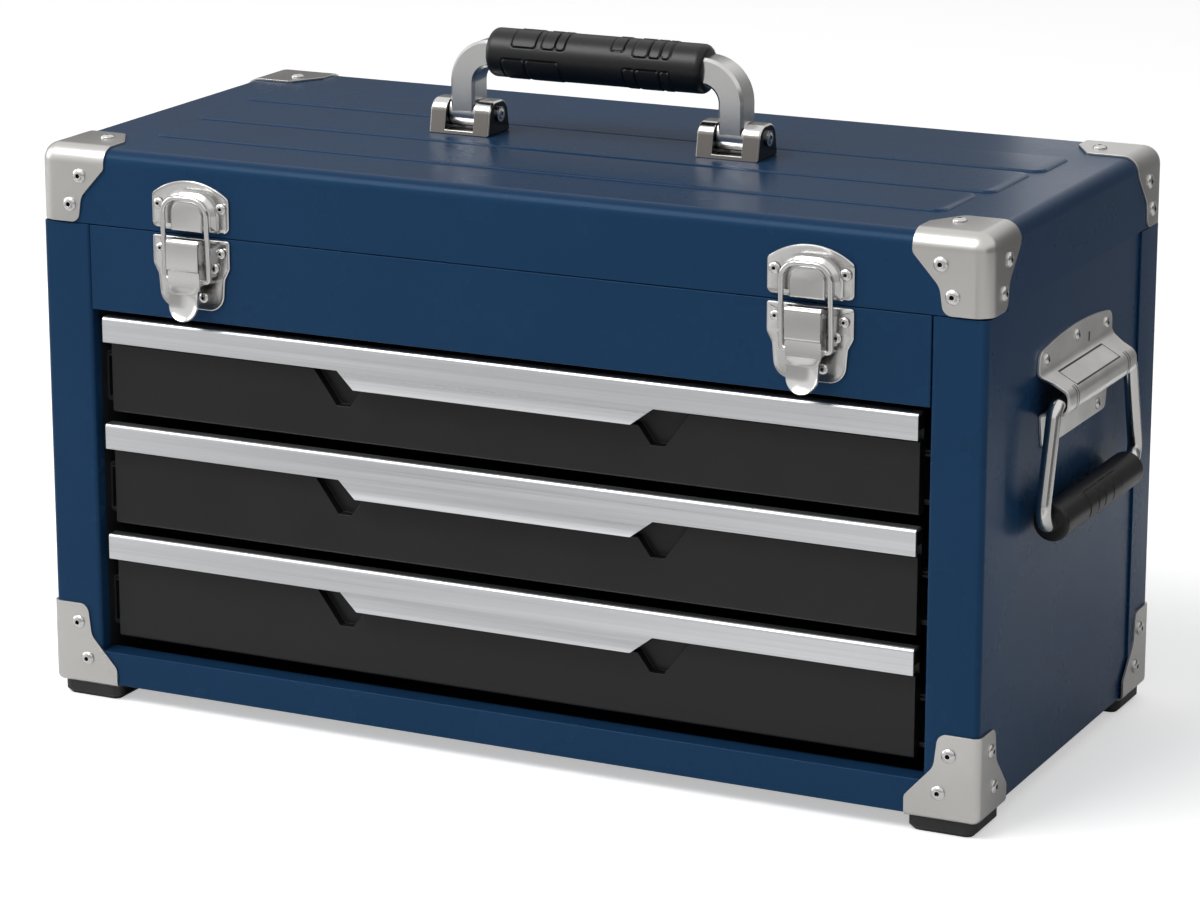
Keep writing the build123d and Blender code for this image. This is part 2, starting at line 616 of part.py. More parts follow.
# ---- Lid -------------------------------------------------------------------------------------------
def lid_shell():
    """Pressed lid: rounded top edges, a hem inside its rim and raised fields along the top."""
    low = SEAM_Z + SEAM_GAP
    outer = rounded_cover((-HALF_W, HALF_W), (FRONT, BACK), (low, LID_TOP), LID_CORNER_ROUND, LID_ROUND)
    wall = SHEET
    inner_x = (-HALF_W + wall, HALF_W - wall)
    inner_y = (FRONT + wall, BACK - wall)
    inner = rounded_cover(inner_x, inner_y, (low - 1, LID_TOP - wall), LID_CORNER_ROUND - wall, LID_ROUND - wall)
    hem = plan(
        RectangleRounded(CASE_W - 0.5, CASE_D - 0.5, LID_CORNER_ROUND - 0.2)
        - RectangleRounded(CASE_W - 4 * wall, CASE_D - 4 * wall, LID_CORNER_ROUND - 2 * wall),
        (low, low + LID_HEM_H),
    )
    shell = outer - inner + hem
    for (front_edge, rear_edge), margin in zip(PAD_EDGES, PAD_MARGINS):
        width = CASE_W - 2 * margin
        depth = rear_edge - front_edge
        middle = FRONT + (front_edge + rear_edge) / 2
        field = Pos(0, middle) * RectangleRounded(width, depth, PAD_CORNER)
        raised = plan(field, (LID_TOP - wall, PAD_TOP))
        raised = chamfer(raised.faces().sort_by(Axis.Z)[-1].edges(), PAD_RISE - 0.1, PAD_RISE * 1.6)
        hollow = Pos(0, middle) * RectangleRounded(width - 4 * wall, depth - 4 * wall, PAD_CORNER - 2 * wall)
        shell = shell + raised - plan(hollow, (LID_TOP - wall - 1, PAD_TOP - wall))
    return shell


def rounded_cover(x, y, z, corner, edge):
    """Solid with rounded upright corners and a rounder top edge."""
    body = fillet(block(x, y, z).edges().filter_by(Axis.Z), corner)
    return fillet(body.faces().sort_by(Axis.Z)[-1].edges(), edge)


def knuckles(first):
    """Every second knuckle of the lid's hinge, from the one numbered first."""
    rings = []
    for number in range(first, HINGE_KNUCKLES, 2):
        middle = (number - (HINGE_KNUCKLES - 1) / 2) * HINGE_PITCH
        half = HINGE_PITCH / 2 - RUN_GAP / 2
        rings.append(rod_x((middle - half, middle + half), HINGE_Y, HINGE_Z, KNUCKLE_R))
    return rings


def hinge_leaf(section, first):
    """Leaf with its own knuckles, cut back round those of the other leaf."""
    reach = HINGE_KNUCKLES * HINGE_PITCH / 2
    leaf = side_section(section, (-reach, reach))
    for number in range(1 - first, HINGE_KNUCKLES, 2):
        middle = (number - (HINGE_KNUCKLES - 1) / 2) * HINGE_PITCH
        half = HINGE_PITCH / 2 + RUN_GAP / 2
        leaf = leaf - rod_x((middle - half, middle + half), HINGE_Y, HINGE_Z, KNUCKLE_R + RUN_GAP)
    for ring in knuckles(first):
        leaf = leaf + ring
    return leaf - rod_x((-reach - 1, reach + 1), HINGE_Y, HINGE_Z, HINGE_PIN_R + HINGE_PIN_FIT)


def lower_leaf():
    """Leaf on the back of the case, joggled out to the knuckles."""
    on_panel = PANEL_BACK + LEAF_T
    at_knuckle = BACK + LEAF_T
    path = [
        (at_knuckle, HINGE_Z),
        (at_knuckle, SEAM_Z - 6.0),
        (on_panel, SEAM_Z - 9.0),
        (on_panel, SEAM_Z - LEAF_H),
    ]
    section = strip(list(reversed(path)), LEAF_T, [0.6, 0.6])
    return hinge_leaf(section, 0)


def upper_leaf():
    """Leaf on the rear of the lid."""
    top = HINGE_Z + LEAF_H
    section = make_face(Polyline((BACK, HINGE_Z), (BACK + LEAF_T, HINGE_Z), (BACK + LEAF_T, top), (BACK, top), close=True))
    return hinge_leaf(section, 1)


# ---- Lid stays ---------------------------------------------------------------------------------------
STAY_X = INNER_X - 4.2  # middle of the arm's thickness
PIVOT_A = (HINGE_Y - STAY_R * cos(radians(STAY_LID_ANGLE)), HINGE_Z + STAY_R * sin(radians(STAY_LID_ANGLE)))
STUD_B = (HINGE_Y - STAY_R * cos(radians(STAY_CASE_ANGLE)), HINGE_Z - STAY_R * sin(radians(STAY_CASE_ANGLE)))
STAY_SHUT = 2 * STAY_R * sin(radians(STAY_LID_ANGLE + STAY_CASE_ANGLE) / 2)
STAY_WIDE = 2 * STAY_R * sin(radians(STAY_LID_ANGLE + STAY_CASE_ANGLE + LID_OPEN) / 2)


def stay_arm():
    """Flat arm with a round hole for the lid's pivot and a slot for the case's stud."""
    run = Vector(STUD_B[0] - PIVOT_A[0], STUD_B[1] - PIVOT_A[1]).normalized()
    along = degrees(acos(run.X)) * (-1 if run.Y < 0 else 1)
    end = STAY_WIDE + 0.5
    body = Pos(end / 2, 0) * SlotCenterToCenter(end, 2 * STAY_HALF_W)
    slot = Pos((STAY_SHUT + STAY_WIDE) / 2, 0) * SlotCenterToCenter(
        STAY_WIDE - STAY_SHUT, 2 * (STAY_PIN_R + RUN_GAP)
    )
    face = body - slot - Circle(STAY_PIN_R + 0.1)
    placed = Pos(PIVOT_A[0], PIVOT_A[1]) * Rot(0, 0, along) * face
    return side_section(placed, (STAY_X - STAY_T / 2, STAY_X + STAY_T / 2))


def stay_stud(at, wall_x):
    """Shouldered stud from a side wall, through the arm, with a head inside."""
    near = STAY_X + STAY_T / 2 + RUN_GAP
    far = STAY_X - STAY_T / 2 - RUN_GAP
    shoulder = rod_x((near, wall_x), at[0], at[1], STAY_HEAD_R)
    shank = rod_x((far, near), at[0], at[1], STAY_PIN_R)
    head = rod_x((far - STAY_HEAD_T, far), at[0], at[1], STAY_HEAD_R)
    return shoulder + shank + head


# ---- Carrying handle ---------------------------------------------------------------------------------
HANDLE_X = HANDLE_SPAN / 2
PIVOT_Z = PAD_TOP + HANDLE_PIVOT_H


def handle_bracket():
    """Right clevis bracket: a base and two ears with round shoulders."""
    half_w = BRACKET_W / 2
    half_d = BRACKET_D / 2
    top = PAD_TOP + BRACKET_H
    path = [(-half_d, PAD_TOP), (-half_d + 3.2, top), (half_d - 3.2, top), (half_d, PAD_TOP)]
    solid = side_section(outline(path, [7.5, 7.5]), (-half_w, half_w))
    solid = chamfer(solid.edges().group_by(Axis.X)[0] + solid.edges().group_by(Axis.X)[-1], 0.9)
    slot_half = ARM_FOOT_W / 2 + RUN_GAP
    gap_low = PAD_TOP + BRACKET_BASE_T
    solid = solid - block((-slot_half, slot_half), (-half_d, half_d), (gap_low, top + 1))
    bore = rod_x((-half_w - 1, half_w + 1), 0, PIVOT_Z, HANDLE_PIN_R)
    return Pos(HANDLE_X, 0, 0) * (solid - bore)


def handle_pin():
    """Pin through one bracket, with a low head outside each ear."""
    half = BRACKET_W / 2
    pin = rod_x((-half, half), 0, PIVOT_Z, HANDLE_PIN_R)
    heads = rod_x((half, half + 1.2), 0, PIVOT_Z, 4.0) + rod_x((-half - 1.2, -half), 0, PIVOT_Z, 4.0)
    return Pos(HANDLE_X, 0, 0) * (pin + heads)


def handle_frame():
    """Chrome bow: two arms bent over into the bar that the grip is moulded on."""
    low = PIVOT_Z
    high = PAD_TOP + GRIP_AXIS_H
    outer = HANDLE_X + ARM_W / 2
    inner = HANDLE_X - ARM_W / 2
    outer_path = [(-outer, low), (-outer, high + ARM_W / 2), (outer, high + ARM_W / 2), (outer, low)]
    inner_path = [(-inner, low), (-inner, high - ARM_W / 2), (inner, high - ARM_W / 2), (inner, low)]
    bow = outline(outer_path, [BOW_OUTER_R, BOW_OUTER_R]) - outline(inner_path, [BOW_INNER_R, BOW_INNER_R])
    bow = front_section(bow, (-ARM_D / 2, ARM_D / 2))
    bow = chamfer(bow.edges().group_by(Axis.Y)[0] + bow.edges().group_by(Axis.Y)[-1], 1.5)
    for side in (-1, 1):
        middle = side * HANDLE_X
        reach = (middle - ARM_FOOT_W / 2, middle + ARM_FOOT_W / 2)
        bow = bow + rod_x(reach, 0, PIVOT_Z, ARM_FOOT_R)
        bow = bow - rod_x((reach[0] - 1, reach[1] + 1), 0, PIVOT_Z, HANDLE_PIN_R + HANDLE_PIN_FIT)
    return bow


def handle_grip(frame):
    """Moulded grip round the bar, with rounded ends."""
    high = PAD_TOP + GRIP_AXIS_H
    grip = rod_x((-GRIP_L / 2, GRIP_L / 2), 0, high, GRIP_R)
    grip = chamfer(grip.edges().filter_by(GeomType.CIRCLE), 3.0)
    return grip - frame


# ---- Side handles ------------------------------------------------------------------------------------
SIDE_AXIS_X = PANEL_X + SIDE_GRIP_R + SIDE_GRIP_GAP
SIDE_AXIS_Z = SEAM_Z + SIDE_PIVOT_Z


def side_plate():
    """Right handle plate, pressed out into a round tunnel for the bail."""
    face = PANEL_X + SIDE_PLATE_T
    crown = SIDE_AXIS_X + SIDE_WIRE_R + RUN_GAP + SIDE_PLATE_T
    half_tunnel = SIDE_WIRE_R + RUN_GAP + SIDE_PLATE_T
    low = SEAM_Z + SIDE_PLATE_LOW
    top = SEAM_Z + SIDE_PLATE_TOP
    path = [
        (face, low),
        (face, SIDE_AXIS_Z - half_tunnel - 1.5),
        (crown, SIDE_AXIS_Z - half_tunnel),
        (crown, SIDE_AXIS_Z + half_tunnel),
        (face, SIDE_AXIS_Z + half_tunnel + SIDE_SHOULDER_H),
        (face, top),
    ]
    barrel_bend = half_tunnel - SIDE_PLATE_T
    section = strip(path, SIDE_PLATE_T, [1.5, barrel_bend, barrel_bend, 4.0])
    half = SIDE_PLATE_L / 2
    plate = front_section(section, (-half, half))
    barrel_half = SIDE_BARREL_L / 2
    tab_half = half - 4.0
    arch_side = top - SIDE_PLATE_ARCH
    shoulder = SIDE_AXIS_Z + half_tunnel + SIDE_SHOULDER_H
    edge = Polyline(
        (-half, arch_side),
        (-half, shoulder),
        (-barrel_half, shoulder - 4.0),
        (-barrel_half, SIDE_AXIS_Z - 8.0),
        (-tab_half, SIDE_AXIS_Z - 9.0),
        (-tab_half + 3.0, low),
        (tab_half - 3.0, low),
        (tab_half, SIDE_AXIS_Z - 9.0),
        (barrel_half, SIDE_AXIS_Z - 8.0),
        (barrel_half, shoulder - 4.0),
        (half, shoulder),
        (half, arch_side),
    )
    arch = ThreePointArc((half, arch_side), (0, top), (-half, arch_side))
    rim = make_face(edge + arch)
    rim = fillet(rim.vertices().group_by(Axis.Y)[-1], 6.0)
    rim = fillet(rim.vertices().group_by(Axis.Y)[0], 4.0)
    keep = extrude(Plane(origin=(0, 0, 0), x_dir=(0, 1, 0), z_dir=(1, 0, 0)) * rim, amount=HALF_W + 40)
    return plate & keep


def side_bail():
    """Right bail: a closed loop of round wire that turns in the plate's tunnel."""
    plane = Plane(origin=(SIDE_AXIS_X, 0, SIDE_AXIS_Z), x_dir=(0, 1, 0), z_dir=(1, 0, 0))
    drop = SIDE_GRIP_Z - SIDE_PIVOT_Z
    points = [(SIDE_LOW_HALF, drop), (SIDE_TOP_HALF, 0), (-SIDE_TOP_HALF, 0), (-SIDE_LOW_HALF, drop)]
    path = plane * FilletPolyline(*points, close=True, radius=[10.0, 7.5, 7.5, 10.0])
    return sweep(Plane(origin=path @ 0, z_dir=path % 0) * Circle(SIDE_WIRE_R), path=path)


def side_grip():
    """Right grip on the bail's lower bar."""
    middle = Pos(SIDE_AXIS_X, 0, SEAM_Z + SIDE_GRIP_Z) * Rot(90, 0, 0)
    grip = Cylinder(SIDE_GRIP_R, SIDE_GRIP_L)
    grip = chamfer(grip.edges().filter_by(GeomType.CIRCLE), 1.4)
    return middle * (grip - Cylinder(SIDE_WIRE_R, SIDE_GRIP_L + 2))


# ---- Rivets ------------------------------------------------------------------------------------------
def lid_cap_rivets():
    """Rivets of the front right lid protector."""
    x = HALF_W
    front = FRONT - CAP_T
    side = HALF_W + CAP_T
    return [
        rivet((x - 23.7, front, LID_TOP - 14.2), (0, -1, 0)),
        rivet((x - 17.5, front, LID_TOP - 29.4), (0, -1, 0)),
        rivet((side, FRONT + 22.5, LID_TOP - 14.2), (1, 0, 0)),
        rivet((side, FRONT + 16.5, LID_TOP - 29.4), (1, 0, 0)),
        rivet((x - 25.0, FRONT + 25.0, LID_TOP + CAP_T), (0, 0, 1)),
    ]


def base_cap_rivets():
    """Rivets of the front right base protector."""
    front = FRONT - CAP_T
    side = HALF_W + CAP_T
    return [
        rivet((HALF_W - 14.5, front, BASE_Z + 32.5), (0, -1, 0)),
        rivet((HALF_W - 19.5, front, BASE_Z + 13.0), (0, -1, 0)),
        rivet((side, FRONT + 14.5, BASE_Z + 32.5), (1, 0, 0)),
        rivet((side, FRONT + 19.5, BASE_Z + 13.0), (1, 0, 0)),
    ]


def latch_base_rivets():
    """Rivets of the right latch's base, beside and below the lever."""
    face = out(LATCH_PLATE_T)
    places = [(17.7, -7.5), (13.9, -15.4), (7.2, -31.2)]
    both = places + [(-x, z) for x, z in places]
    return [rivet((LATCH_X + x, face, SEAM_Z + z), (0, -1, 0), 2.6, 1.3) for x, z in both]


def strike_rivets():
    """Rivets of the right latch's strike."""
    face = out(LATCH_PLATE_T)
    return [rivet((LATCH_X + x, face, SEAM_Z + 15.5), (0, -1, 0), 2.9, 1.4) for x in (-18.3, 18.3)]


def side_plate_rivets():
    """Rivets of the right side handle's plate."""
    face = PANEL_X + SIDE_PLATE_T
    places = [(-43.0, -36.0), (0.0, -33.0), (43.0, -36.0), (-33.0, -75.5), (33.0, -75.5)]
    return [rivet((face, y, SEAM_Z + z), (1, 0, 0), 3.0, 1.6) for y, z in places]


# ---- Assembly ----------------------------------------------------------------------------------------
def both_sides(shapes):
    """Right-hand shapes together with their left-hand mirror images."""
    return [copy for shape in shapes for copy in left_right(shape)]


def all_corners(shapes):
    """Front right shapes copied to all four corners."""
    return [copy for shape in both_sides(shapes) for copy in front_rear(shape)]


parts["case_wrapper"] = case_wrapper()
parts["base_pan"] = base_pan()
parts["top_tray"] = top_tray()
parts["top_rail"] = rail((SEAM_Z - TOP_RAIL_H, SEAM_Z))
parts["bottom_rail"] = rail((BASE_Z, BASE_Z + BOTTOM_RAIL_H))
parts["front_posts"] = both_sides([front_post()])
parts["rear_posts"] = both_sides([rear_post()])
parts["runner_liner_right"], parts["runner_liner_left"] = left_right(runner_liner())

base_cap = protector(
    BASE_CAP_LEG, BASE_CAP_WAIST, BASE_CAP_STRAIGHT, BASE_CAP_H, BASE_CAP_LEG, POST_BEND + SHEET, 0, CAP_EDGE
)
base_cap = Pos(HALF_W + CAP_T, FRONT - CAP_T, BASE_Z - CAP_T) * base_cap
parts["base_corners_front"] = both_sides([base_cap])
parts["base_corners_rear"] = both_sides([mirror(base_cap, about=Plane.XZ)])

foot_x = (HALF_W - 37.0, HALF_W - 1.5)
foot_y = (FRONT + 1.5, FRONT + 37.0)
foot = block(foot_x, foot_y, (0, FOOT_H))
foot = fillet(foot.edges().filter_by(Axis.Z), 6.0)
foot = chamfer(foot.faces().sort_by(Axis.Z)[0].edges(), 2.5)
parts["rubber_feet"] = all_corners([foot])

channels = [case_channel(index) for index in range(len(DRAWER_NAMES))]
parts["runner_channels"] = both_sides(channels)
for index, name in enumerate(DRAWER_NAMES):
    parts[f"{name}_drawer_tray"] = drawer_tray(index)
    parts[f"{name}_drawer_face"] = drawer_face(index)
    parts[f"{name}_drawer_pull"] = drawer_pull(index)
    parts[f"{name}_drawer_runners"] = both_sides([drawer_runner(index)])

parts["lid_shell"] = lid_shell()
lid_cap_h = LID_H + CAP_T - SEAM_GAP - 0.3
lid_cap_edge = LID_ROUND + CAP_T
lid_cap = protector(
    LID_CAP_LEG, LID_CAP_WAIST, LID_CAP_STRAIGHT, lid_cap_h, LID_CAP_TOP_LEG, LID_CORNER_ROUND, LID_ROUND, lid_cap_edge
)
lid_cap = Pos(HALF_W + CAP_T, FRONT - CAP_T, LID_TOP + CAP_T) * mirror(lid_cap, about=Plane.XY)
parts["lid_corners_front"] = both_sides([lid_cap])
parts["lid_corners_rear"] = both_sides([mirror(lid_cap, about=Plane.XZ)])

parts["hinge_leaf_case"] = lower_leaf()
parts["hinge_leaf_lid"] = upper_leaf()
pin_reach = HINGE_KNUCKLES * HINGE_PITCH / 2
parts["hinge_pin"] = rod_x((-pin_reach, pin_reach), HINGE_Y, HINGE_Z, HINGE_PIN_R)

parts["latch_strike_right"], parts["latch_strike_left"] = left_right(latch_strike())
parts["latch_base_right"], parts["latch_base_left"] = left_right(latch_base())
parts["latch_lever_right"], parts["latch_lever_left"] = left_right(latch_lever())
parts["latch_bail_right"], parts["latch_bail_left"] = left_right(latch_bail())
parts["latch_pins"] = both_sides([latch_pin()])

parts["handle_bracket_right"], parts["handle_bracket_left"] = left_right(handle_bracket())
parts["handle_pins"] = both_sides([handle_pin()])
parts["handle_frame"] = handle_frame()
parts["handle_grip"] = handle_grip(parts["handle_frame"])

parts["side_plate_right"], parts["side_plate_left"] = left_right(side_plate())
parts["side_bail_right"], parts["side_bail_left"] = left_right(side_bail())
parts["side_grip_right"], parts["side_grip_left"] = left_right(side_grip())

parts["stay_arm_right"], parts["stay_arm_left"] = left_right(stay_arm())
parts["stay_pivots"] = both_sides([stay_stud(PIVOT_A, HALF_W - SHEET)])
parts["stay_studs"] = both_sides([stay_stud(STUD_B, INNER_X)])

parts["lid_rivets"] = all_corners(lid_cap_rivets()) + both_sides(strike_rivets())
case_fixings = latch_base_rivets() + side_plate_rivets()
parts["case_rivets"] = all_corners(base_cap_rivets()) + both_sides(case_fixings)

os.makedirs("parts", exist_ok=True)
for name, shape in parts.items():
    solids = shape if isinstance(shape, list) else [shape]
    moved = [solid for piece in solids for solid in (Pos(0, CENTRE_SHIFT, 0) * piece).solids()]
    export_step(Compound(children=moved), f"parts/{name}.step")
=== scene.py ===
import json
import math

import bmesh
import bpy
from mathutils import Matrix, Vector


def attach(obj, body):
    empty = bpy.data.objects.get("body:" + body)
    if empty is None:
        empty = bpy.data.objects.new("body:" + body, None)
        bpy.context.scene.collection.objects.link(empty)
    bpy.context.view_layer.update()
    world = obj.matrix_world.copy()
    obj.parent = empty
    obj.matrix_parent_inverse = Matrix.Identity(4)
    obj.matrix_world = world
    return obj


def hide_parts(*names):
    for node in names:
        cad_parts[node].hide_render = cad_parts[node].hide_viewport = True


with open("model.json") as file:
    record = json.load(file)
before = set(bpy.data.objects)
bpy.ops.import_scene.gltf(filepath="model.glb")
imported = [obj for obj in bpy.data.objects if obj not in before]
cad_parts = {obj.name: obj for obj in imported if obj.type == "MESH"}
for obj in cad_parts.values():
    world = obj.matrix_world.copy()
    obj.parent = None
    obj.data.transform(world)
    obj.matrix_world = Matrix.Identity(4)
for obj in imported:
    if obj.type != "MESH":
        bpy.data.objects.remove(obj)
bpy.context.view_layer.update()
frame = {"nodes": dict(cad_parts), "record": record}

bl_info = {
    "name": "Portable tool box",
    "version": (1, 0, 0),
    "blender": (4, 5, 0),
    "location": "3D View > Sidebar > Tool box",
    "description": "Finishes and details of a steel tool box with drawers, latches and handles",
    "category": "Object",
}

MM = 0.001
NODES = frame["nodes"]
BODY_OF = {node: body for body, nodes in frame["record"]["behaviour"]["bodies"].items() for node in nodes}
SLOT_OF = {part["node"]: part["material_slot"] for part in frame["record"]["subparts"]}
SIDES = ("left", "right")
DRAWERS = ("upper", "middle", "lower")


# ---- Settings that a user would change -------------------------------------------------------
def colour_setting(name, description, default):
    """A colour that a user can pick."""
    return bpy.props.FloatVectorProperty(
        name=name, description=description, default=default, subtype="COLOR", size=3
    )


class StageSettings(bpy.types.PropertyGroup):
    """Camera, light and floor."""

    lens: bpy.props.FloatProperty(
        name="Lens", description="Focal length on a 36 mm sensor", default=127.62, unit="CAMERA"
    )
    place: bpy.props.FloatVectorProperty(
        name="Camera place",
        description="Where the camera stands",
        default=(0.937, -1.92785, 0.7162),
        subtype="TRANSLATION",
        unit="LENGTH",
    )
    turn: bpy.props.FloatProperty(
        name="Camera turn",
        description="How far the camera looks to the left of straight back",
        default=math.radians(25.89),
        subtype="ANGLE",
    )
    dip: bpy.props.FloatProperty(
        name="Camera dip",
        description="How far the camera looks down",
        default=math.radians(15.17),
        subtype="ANGLE",
    )
    surroundings: bpy.props.FloatProperty(
        name="Surroundings", description="Strength of the even light from all round", default=0.42, min=0.0
    )
    key_power: bpy.props.FloatProperty(
        name="Key light",
        description="Power of the large soft lamp above the front",
        default=46.0,
        min=0.0,
        unit="POWER",
    )
    fill_power: bpy.props.FloatProperty(
        name="Side light",
        description="Power of the soft lamp on the left",
        default=12.0,
        min=0.0,
        unit="POWER",
    )
    floor: colour_setting("Floor", "Colour of the floor", (0.93, 0.93, 0.93))


class FinishSettings(bpy.types.PropertyGroup):
    """Colours of the tool box's finishes."""

    paint: colour_setting("Paint", "Powder coat of case and lid", (0.0095, 0.037, 0.090))
    inner_paint: colour_setting("Inner paint", "Paint of the inner sheet", (0.03, 0.032, 0.036))
    pull: colour_setting("Drawer pull", "Brushed aluminium", (0.64, 0.65, 0.665))
    plate: colour_setting("Plated steel", "Latches, wires and rivets", (0.60, 0.595, 0.585))
    side_plate: colour_setting("Side plate", "Satin plates of the side handles", (0.86, 0.85, 0.83))
    corner: colour_setting("Corner protector", "Satin plated corners", (0.54, 0.53, 0.51))
    # Painted shade: the darker colour put on the castings' lower front faces
    bracket: colour_setting("Handle bracket", "Lower front of the plated castings", (0.24, 0.225, 0.21))
    plastic: colour_setting("Drawer face", "Black moulding", (0.008, 0.008, 0.0085))
    rubber: colour_setting("Grip", "Black grips and feet", (0.006, 0.006, 0.006))
    zinc: colour_setting("Zinc", "Runners, hinge and stays", (0.5, 0.51, 0.53))


class RivetSettings(bpy.types.PropertyGroup):
    """Form of a rivet head, as shares of its own radius."""

    hole: bpy.props.FloatProperty(
        name="Hole", description="Radius of the hole in the head", default=0.31, min=0.05, max=0.6
    )
    crown: bpy.props.FloatProperty(
        name="Crown", description="Height of the dome", default=0.48, min=0.1, max=1.0
    )


class GripSettings(bpy.types.PropertyGroup):
    """Pads of the moulded grips."""

    pad_rise: bpy.props.FloatProperty(
        name="Pad depth",
        description="Depth of the grooves round the pads",
        default=0.0007,
        unit="LENGTH",
        subtype="DISTANCE",
    )
    groove: bpy.props.FloatProperty(
        name="Groove", description="Width of a groove", default=0.0009, unit="LENGTH", subtype="DISTANCE"
    )


# ---- Node helpers ------------------------------------------------------------------------------
def new_group(name, inputs, outputs):
    """An empty shader group with float, colour or vector sockets, and its input and output nodes."""
    group = bpy.data.node_groups.new(name, "ShaderNodeTree")
    for label, kind, default in inputs:
        socket = group.interface.new_socket(name=label, in_out="INPUT", socket_type=kind)
        socket.default_value = default
    for label, kind in outputs:
        group.interface.new_socket(name=label, in_out="OUTPUT", socket_type=kind)
    return group, group.nodes.new("NodeGroupInput"), group.nodes.new("NodeGroupOutput")


def add(tree, kind, inputs=None, **settings):
    """A node with its settings and its input values or links."""
    node = tree.nodes.new(kind)
    for key, value in settings.items():
        setattr(node, key, value)
    for key, value in (inputs or {}).items():
        if isinstance(value, bpy.types.NodeSocket):
            tree.links.new(value, node.inputs[key])
        else:
            node.inputs[key].default_value = value
    return node


def maths(tree, operation, first, second=0.0, clamp=False):
    """The output of a Math node."""
    return add(tree, "ShaderNodeMath", {0: first, 1: second}, operation=operation, use_clamp=clamp).outputs[0]


def noise(tree, where, scale, detail, roughness):
    """The output of a Noise Texture node."""
    settings = {"Vector": where, "Scale": scale, "Detail": detail, "Roughness": roughness}
    return add(tree, "ShaderNodeTexNoise", settings).outputs["Fac"]


def fine_grain_group():
    """Small bumps of a coated or moulded surface, and its slow unevenness."""
    group, given, out = new_group(
        "fine grain",
        [
            ("Grain scale", "NodeSocketFloat", 900.0),
            ("Patch scale", "NodeSocketFloat", 14.0),
            ("Stretch", "NodeSocketVector", (1, 1, 1)),
        ],
        [("Grain", "NodeSocketFloat"), ("Patches", "NodeSocketFloat")],
    )
    where = add(group, "ShaderNodeTexCoord").outputs["Object"]
    drawn = add(group, "ShaderNodeVectorMath", {0: where, 1: given.outputs["Stretch"]}, operation="MULTIPLY")
    grain = noise(group, drawn.outputs[0], given.outputs["Grain scale"], 2.0, 0.5)
    patches = noise(group, where, given.outputs["Patch scale"], 4.0, 0.55)
    group.links.new(grain, out.inputs["Grain"])
    group.links.new(patches, out.inputs["Patches"])
    return group


def brushed_group():
    """Lengthwise brush lines: long thin streaks in two sizes along the X axis."""
    group, given, out = new_group(
        "brush lines",
        [("Run", "NodeSocketFloat", 6.0), ("Lines", "NodeSocketFloat", 900.0)],
        [("Height", "NodeSocketFloat"), ("Tone", "NodeSocketFloat")],
    )
    where = add(group, "ShaderNodeTexCoord").outputs["Object"]
    apart = add(group, "ShaderNodeSeparateXYZ", {0: where})
    along = maths(group, "MULTIPLY", apart.outputs["X"], given.outputs["Run"])
    level = maths(group, "MULTIPLY", apart.outputs["Z"], given.outputs["Lines"])
    depth = maths(group, "MULTIPLY", apart.outputs["Y"], given.outputs["Lines"])
    drawn = add(group, "ShaderNodeCombineXYZ", {"X": along, "Y": depth, "Z": level}).outputs[0]
    fine = noise(group, drawn, 1.0, 3.0, 0.6)
    slow = noise(group, drawn, 0.16, 3.0, 0.6)
    tone = maths(group, "ADD", maths(group, "MULTIPLY", fine, 0.5), maths(group, "MULTIPLY", slow, 0.5))
    group.links.new(fine, out.inputs["Height"])
    group.links.new(tone, out.inputs["Tone"])
    return group


def facing_group():
    """Which way a surface faces on its own piece: masks of its side faces and of its front and back, for
    painted shade.
    """
    group, _, out = new_group("facing", [], [("Side", "NodeSocketFloat"), ("Front", "NodeSocketFloat")])
    normal = add(group, "ShaderNodeTexCoord").outputs["Normal"]
    apart = add(group, "ShaderNodeSeparateXYZ", {0: normal})
    for label, axis, low, high in (("Side", "X", 0.70, 0.92), ("Front", "Y", 0.72, 0.95)):
        share = maths(group, "ABSOLUTE", apart.outputs[axis])
        mask = add(group, "ShaderNodeMapRange", {"Value": share, "From Min": low, "From Max": high}).outputs[0]
        group.links.new(mask, out.inputs[label])
    return group


def place_group(tree, group, **values):
    """A group node in a material, with its own values."""
    node = tree.nodes.new("ShaderNodeGroup")
    node.node_tree = group
    for key, value in values.items():
        node.inputs[key.replace("_", " ")].default_value = value
    return node


def new_material(name, **plain):
    """A material, its tree and its Principled shader with plain values set on the sockets."""
    material = bpy.data.materials.new(name)
    material.use_nodes = True
    tree = material.node_tree
    shader = tree.nodes["Principled BSDF"]
    for key, value in plain.items():
        shader.inputs[key.replace("_", " ")].default_value = value
    return material, tree, shader


def spread(tree, mask, low, high):
    """The mask stretched between two values."""
    ends = {"Value": mask, "From Min": 0.3, "From Max": 0.7, "To Min": low, "To Max": high}
    return add(tree, "ShaderNodeMapRange", ends).outputs[0]


def tinted(tree, colour, mask, dark, light):
    """A colour that moves between a darker and a lighter tone of itself as the mask goes from 0 to 1."""
    tone = {0: tuple(colour), "Scale": spread(tree, mask, dark, light)}
    return add(tree, "ShaderNodeVectorMath", tone, operation="SCALE").outputs[0]


def mixed(tree, share, first, second):
    """One colour turning into another as the share goes from 0 to 1."""
    return add(tree, "ShaderNodeMix", {0: share, 6: first, 7: (*second, 1)}, data_type="RGBA").outputs[2]


def rough_up(tree, shader, height, strength, distance):
    """A bump from a height, into the shader's normal."""
    bump = add(tree, "ShaderNodeBump", {"Height": height, "Strength": strength, "Distance": distance})
    tree.links.new(bump.outputs[0], shader.inputs["Normal"])


# Scales of the grain and the patches are per metre; the bump is a strength at the grain's depth
GRAIN_DEPTH = 0.0002
ROUGH_SHARES = (0.88, 1.14)  # of a finish's roughness, in its smooth and its dull patches
PLAIN_LOOK = {"metallic": 0.0, "shine": 0.5, "shade": 0.06, "patch": 14.0, "stretch": (1, 1, 1)}
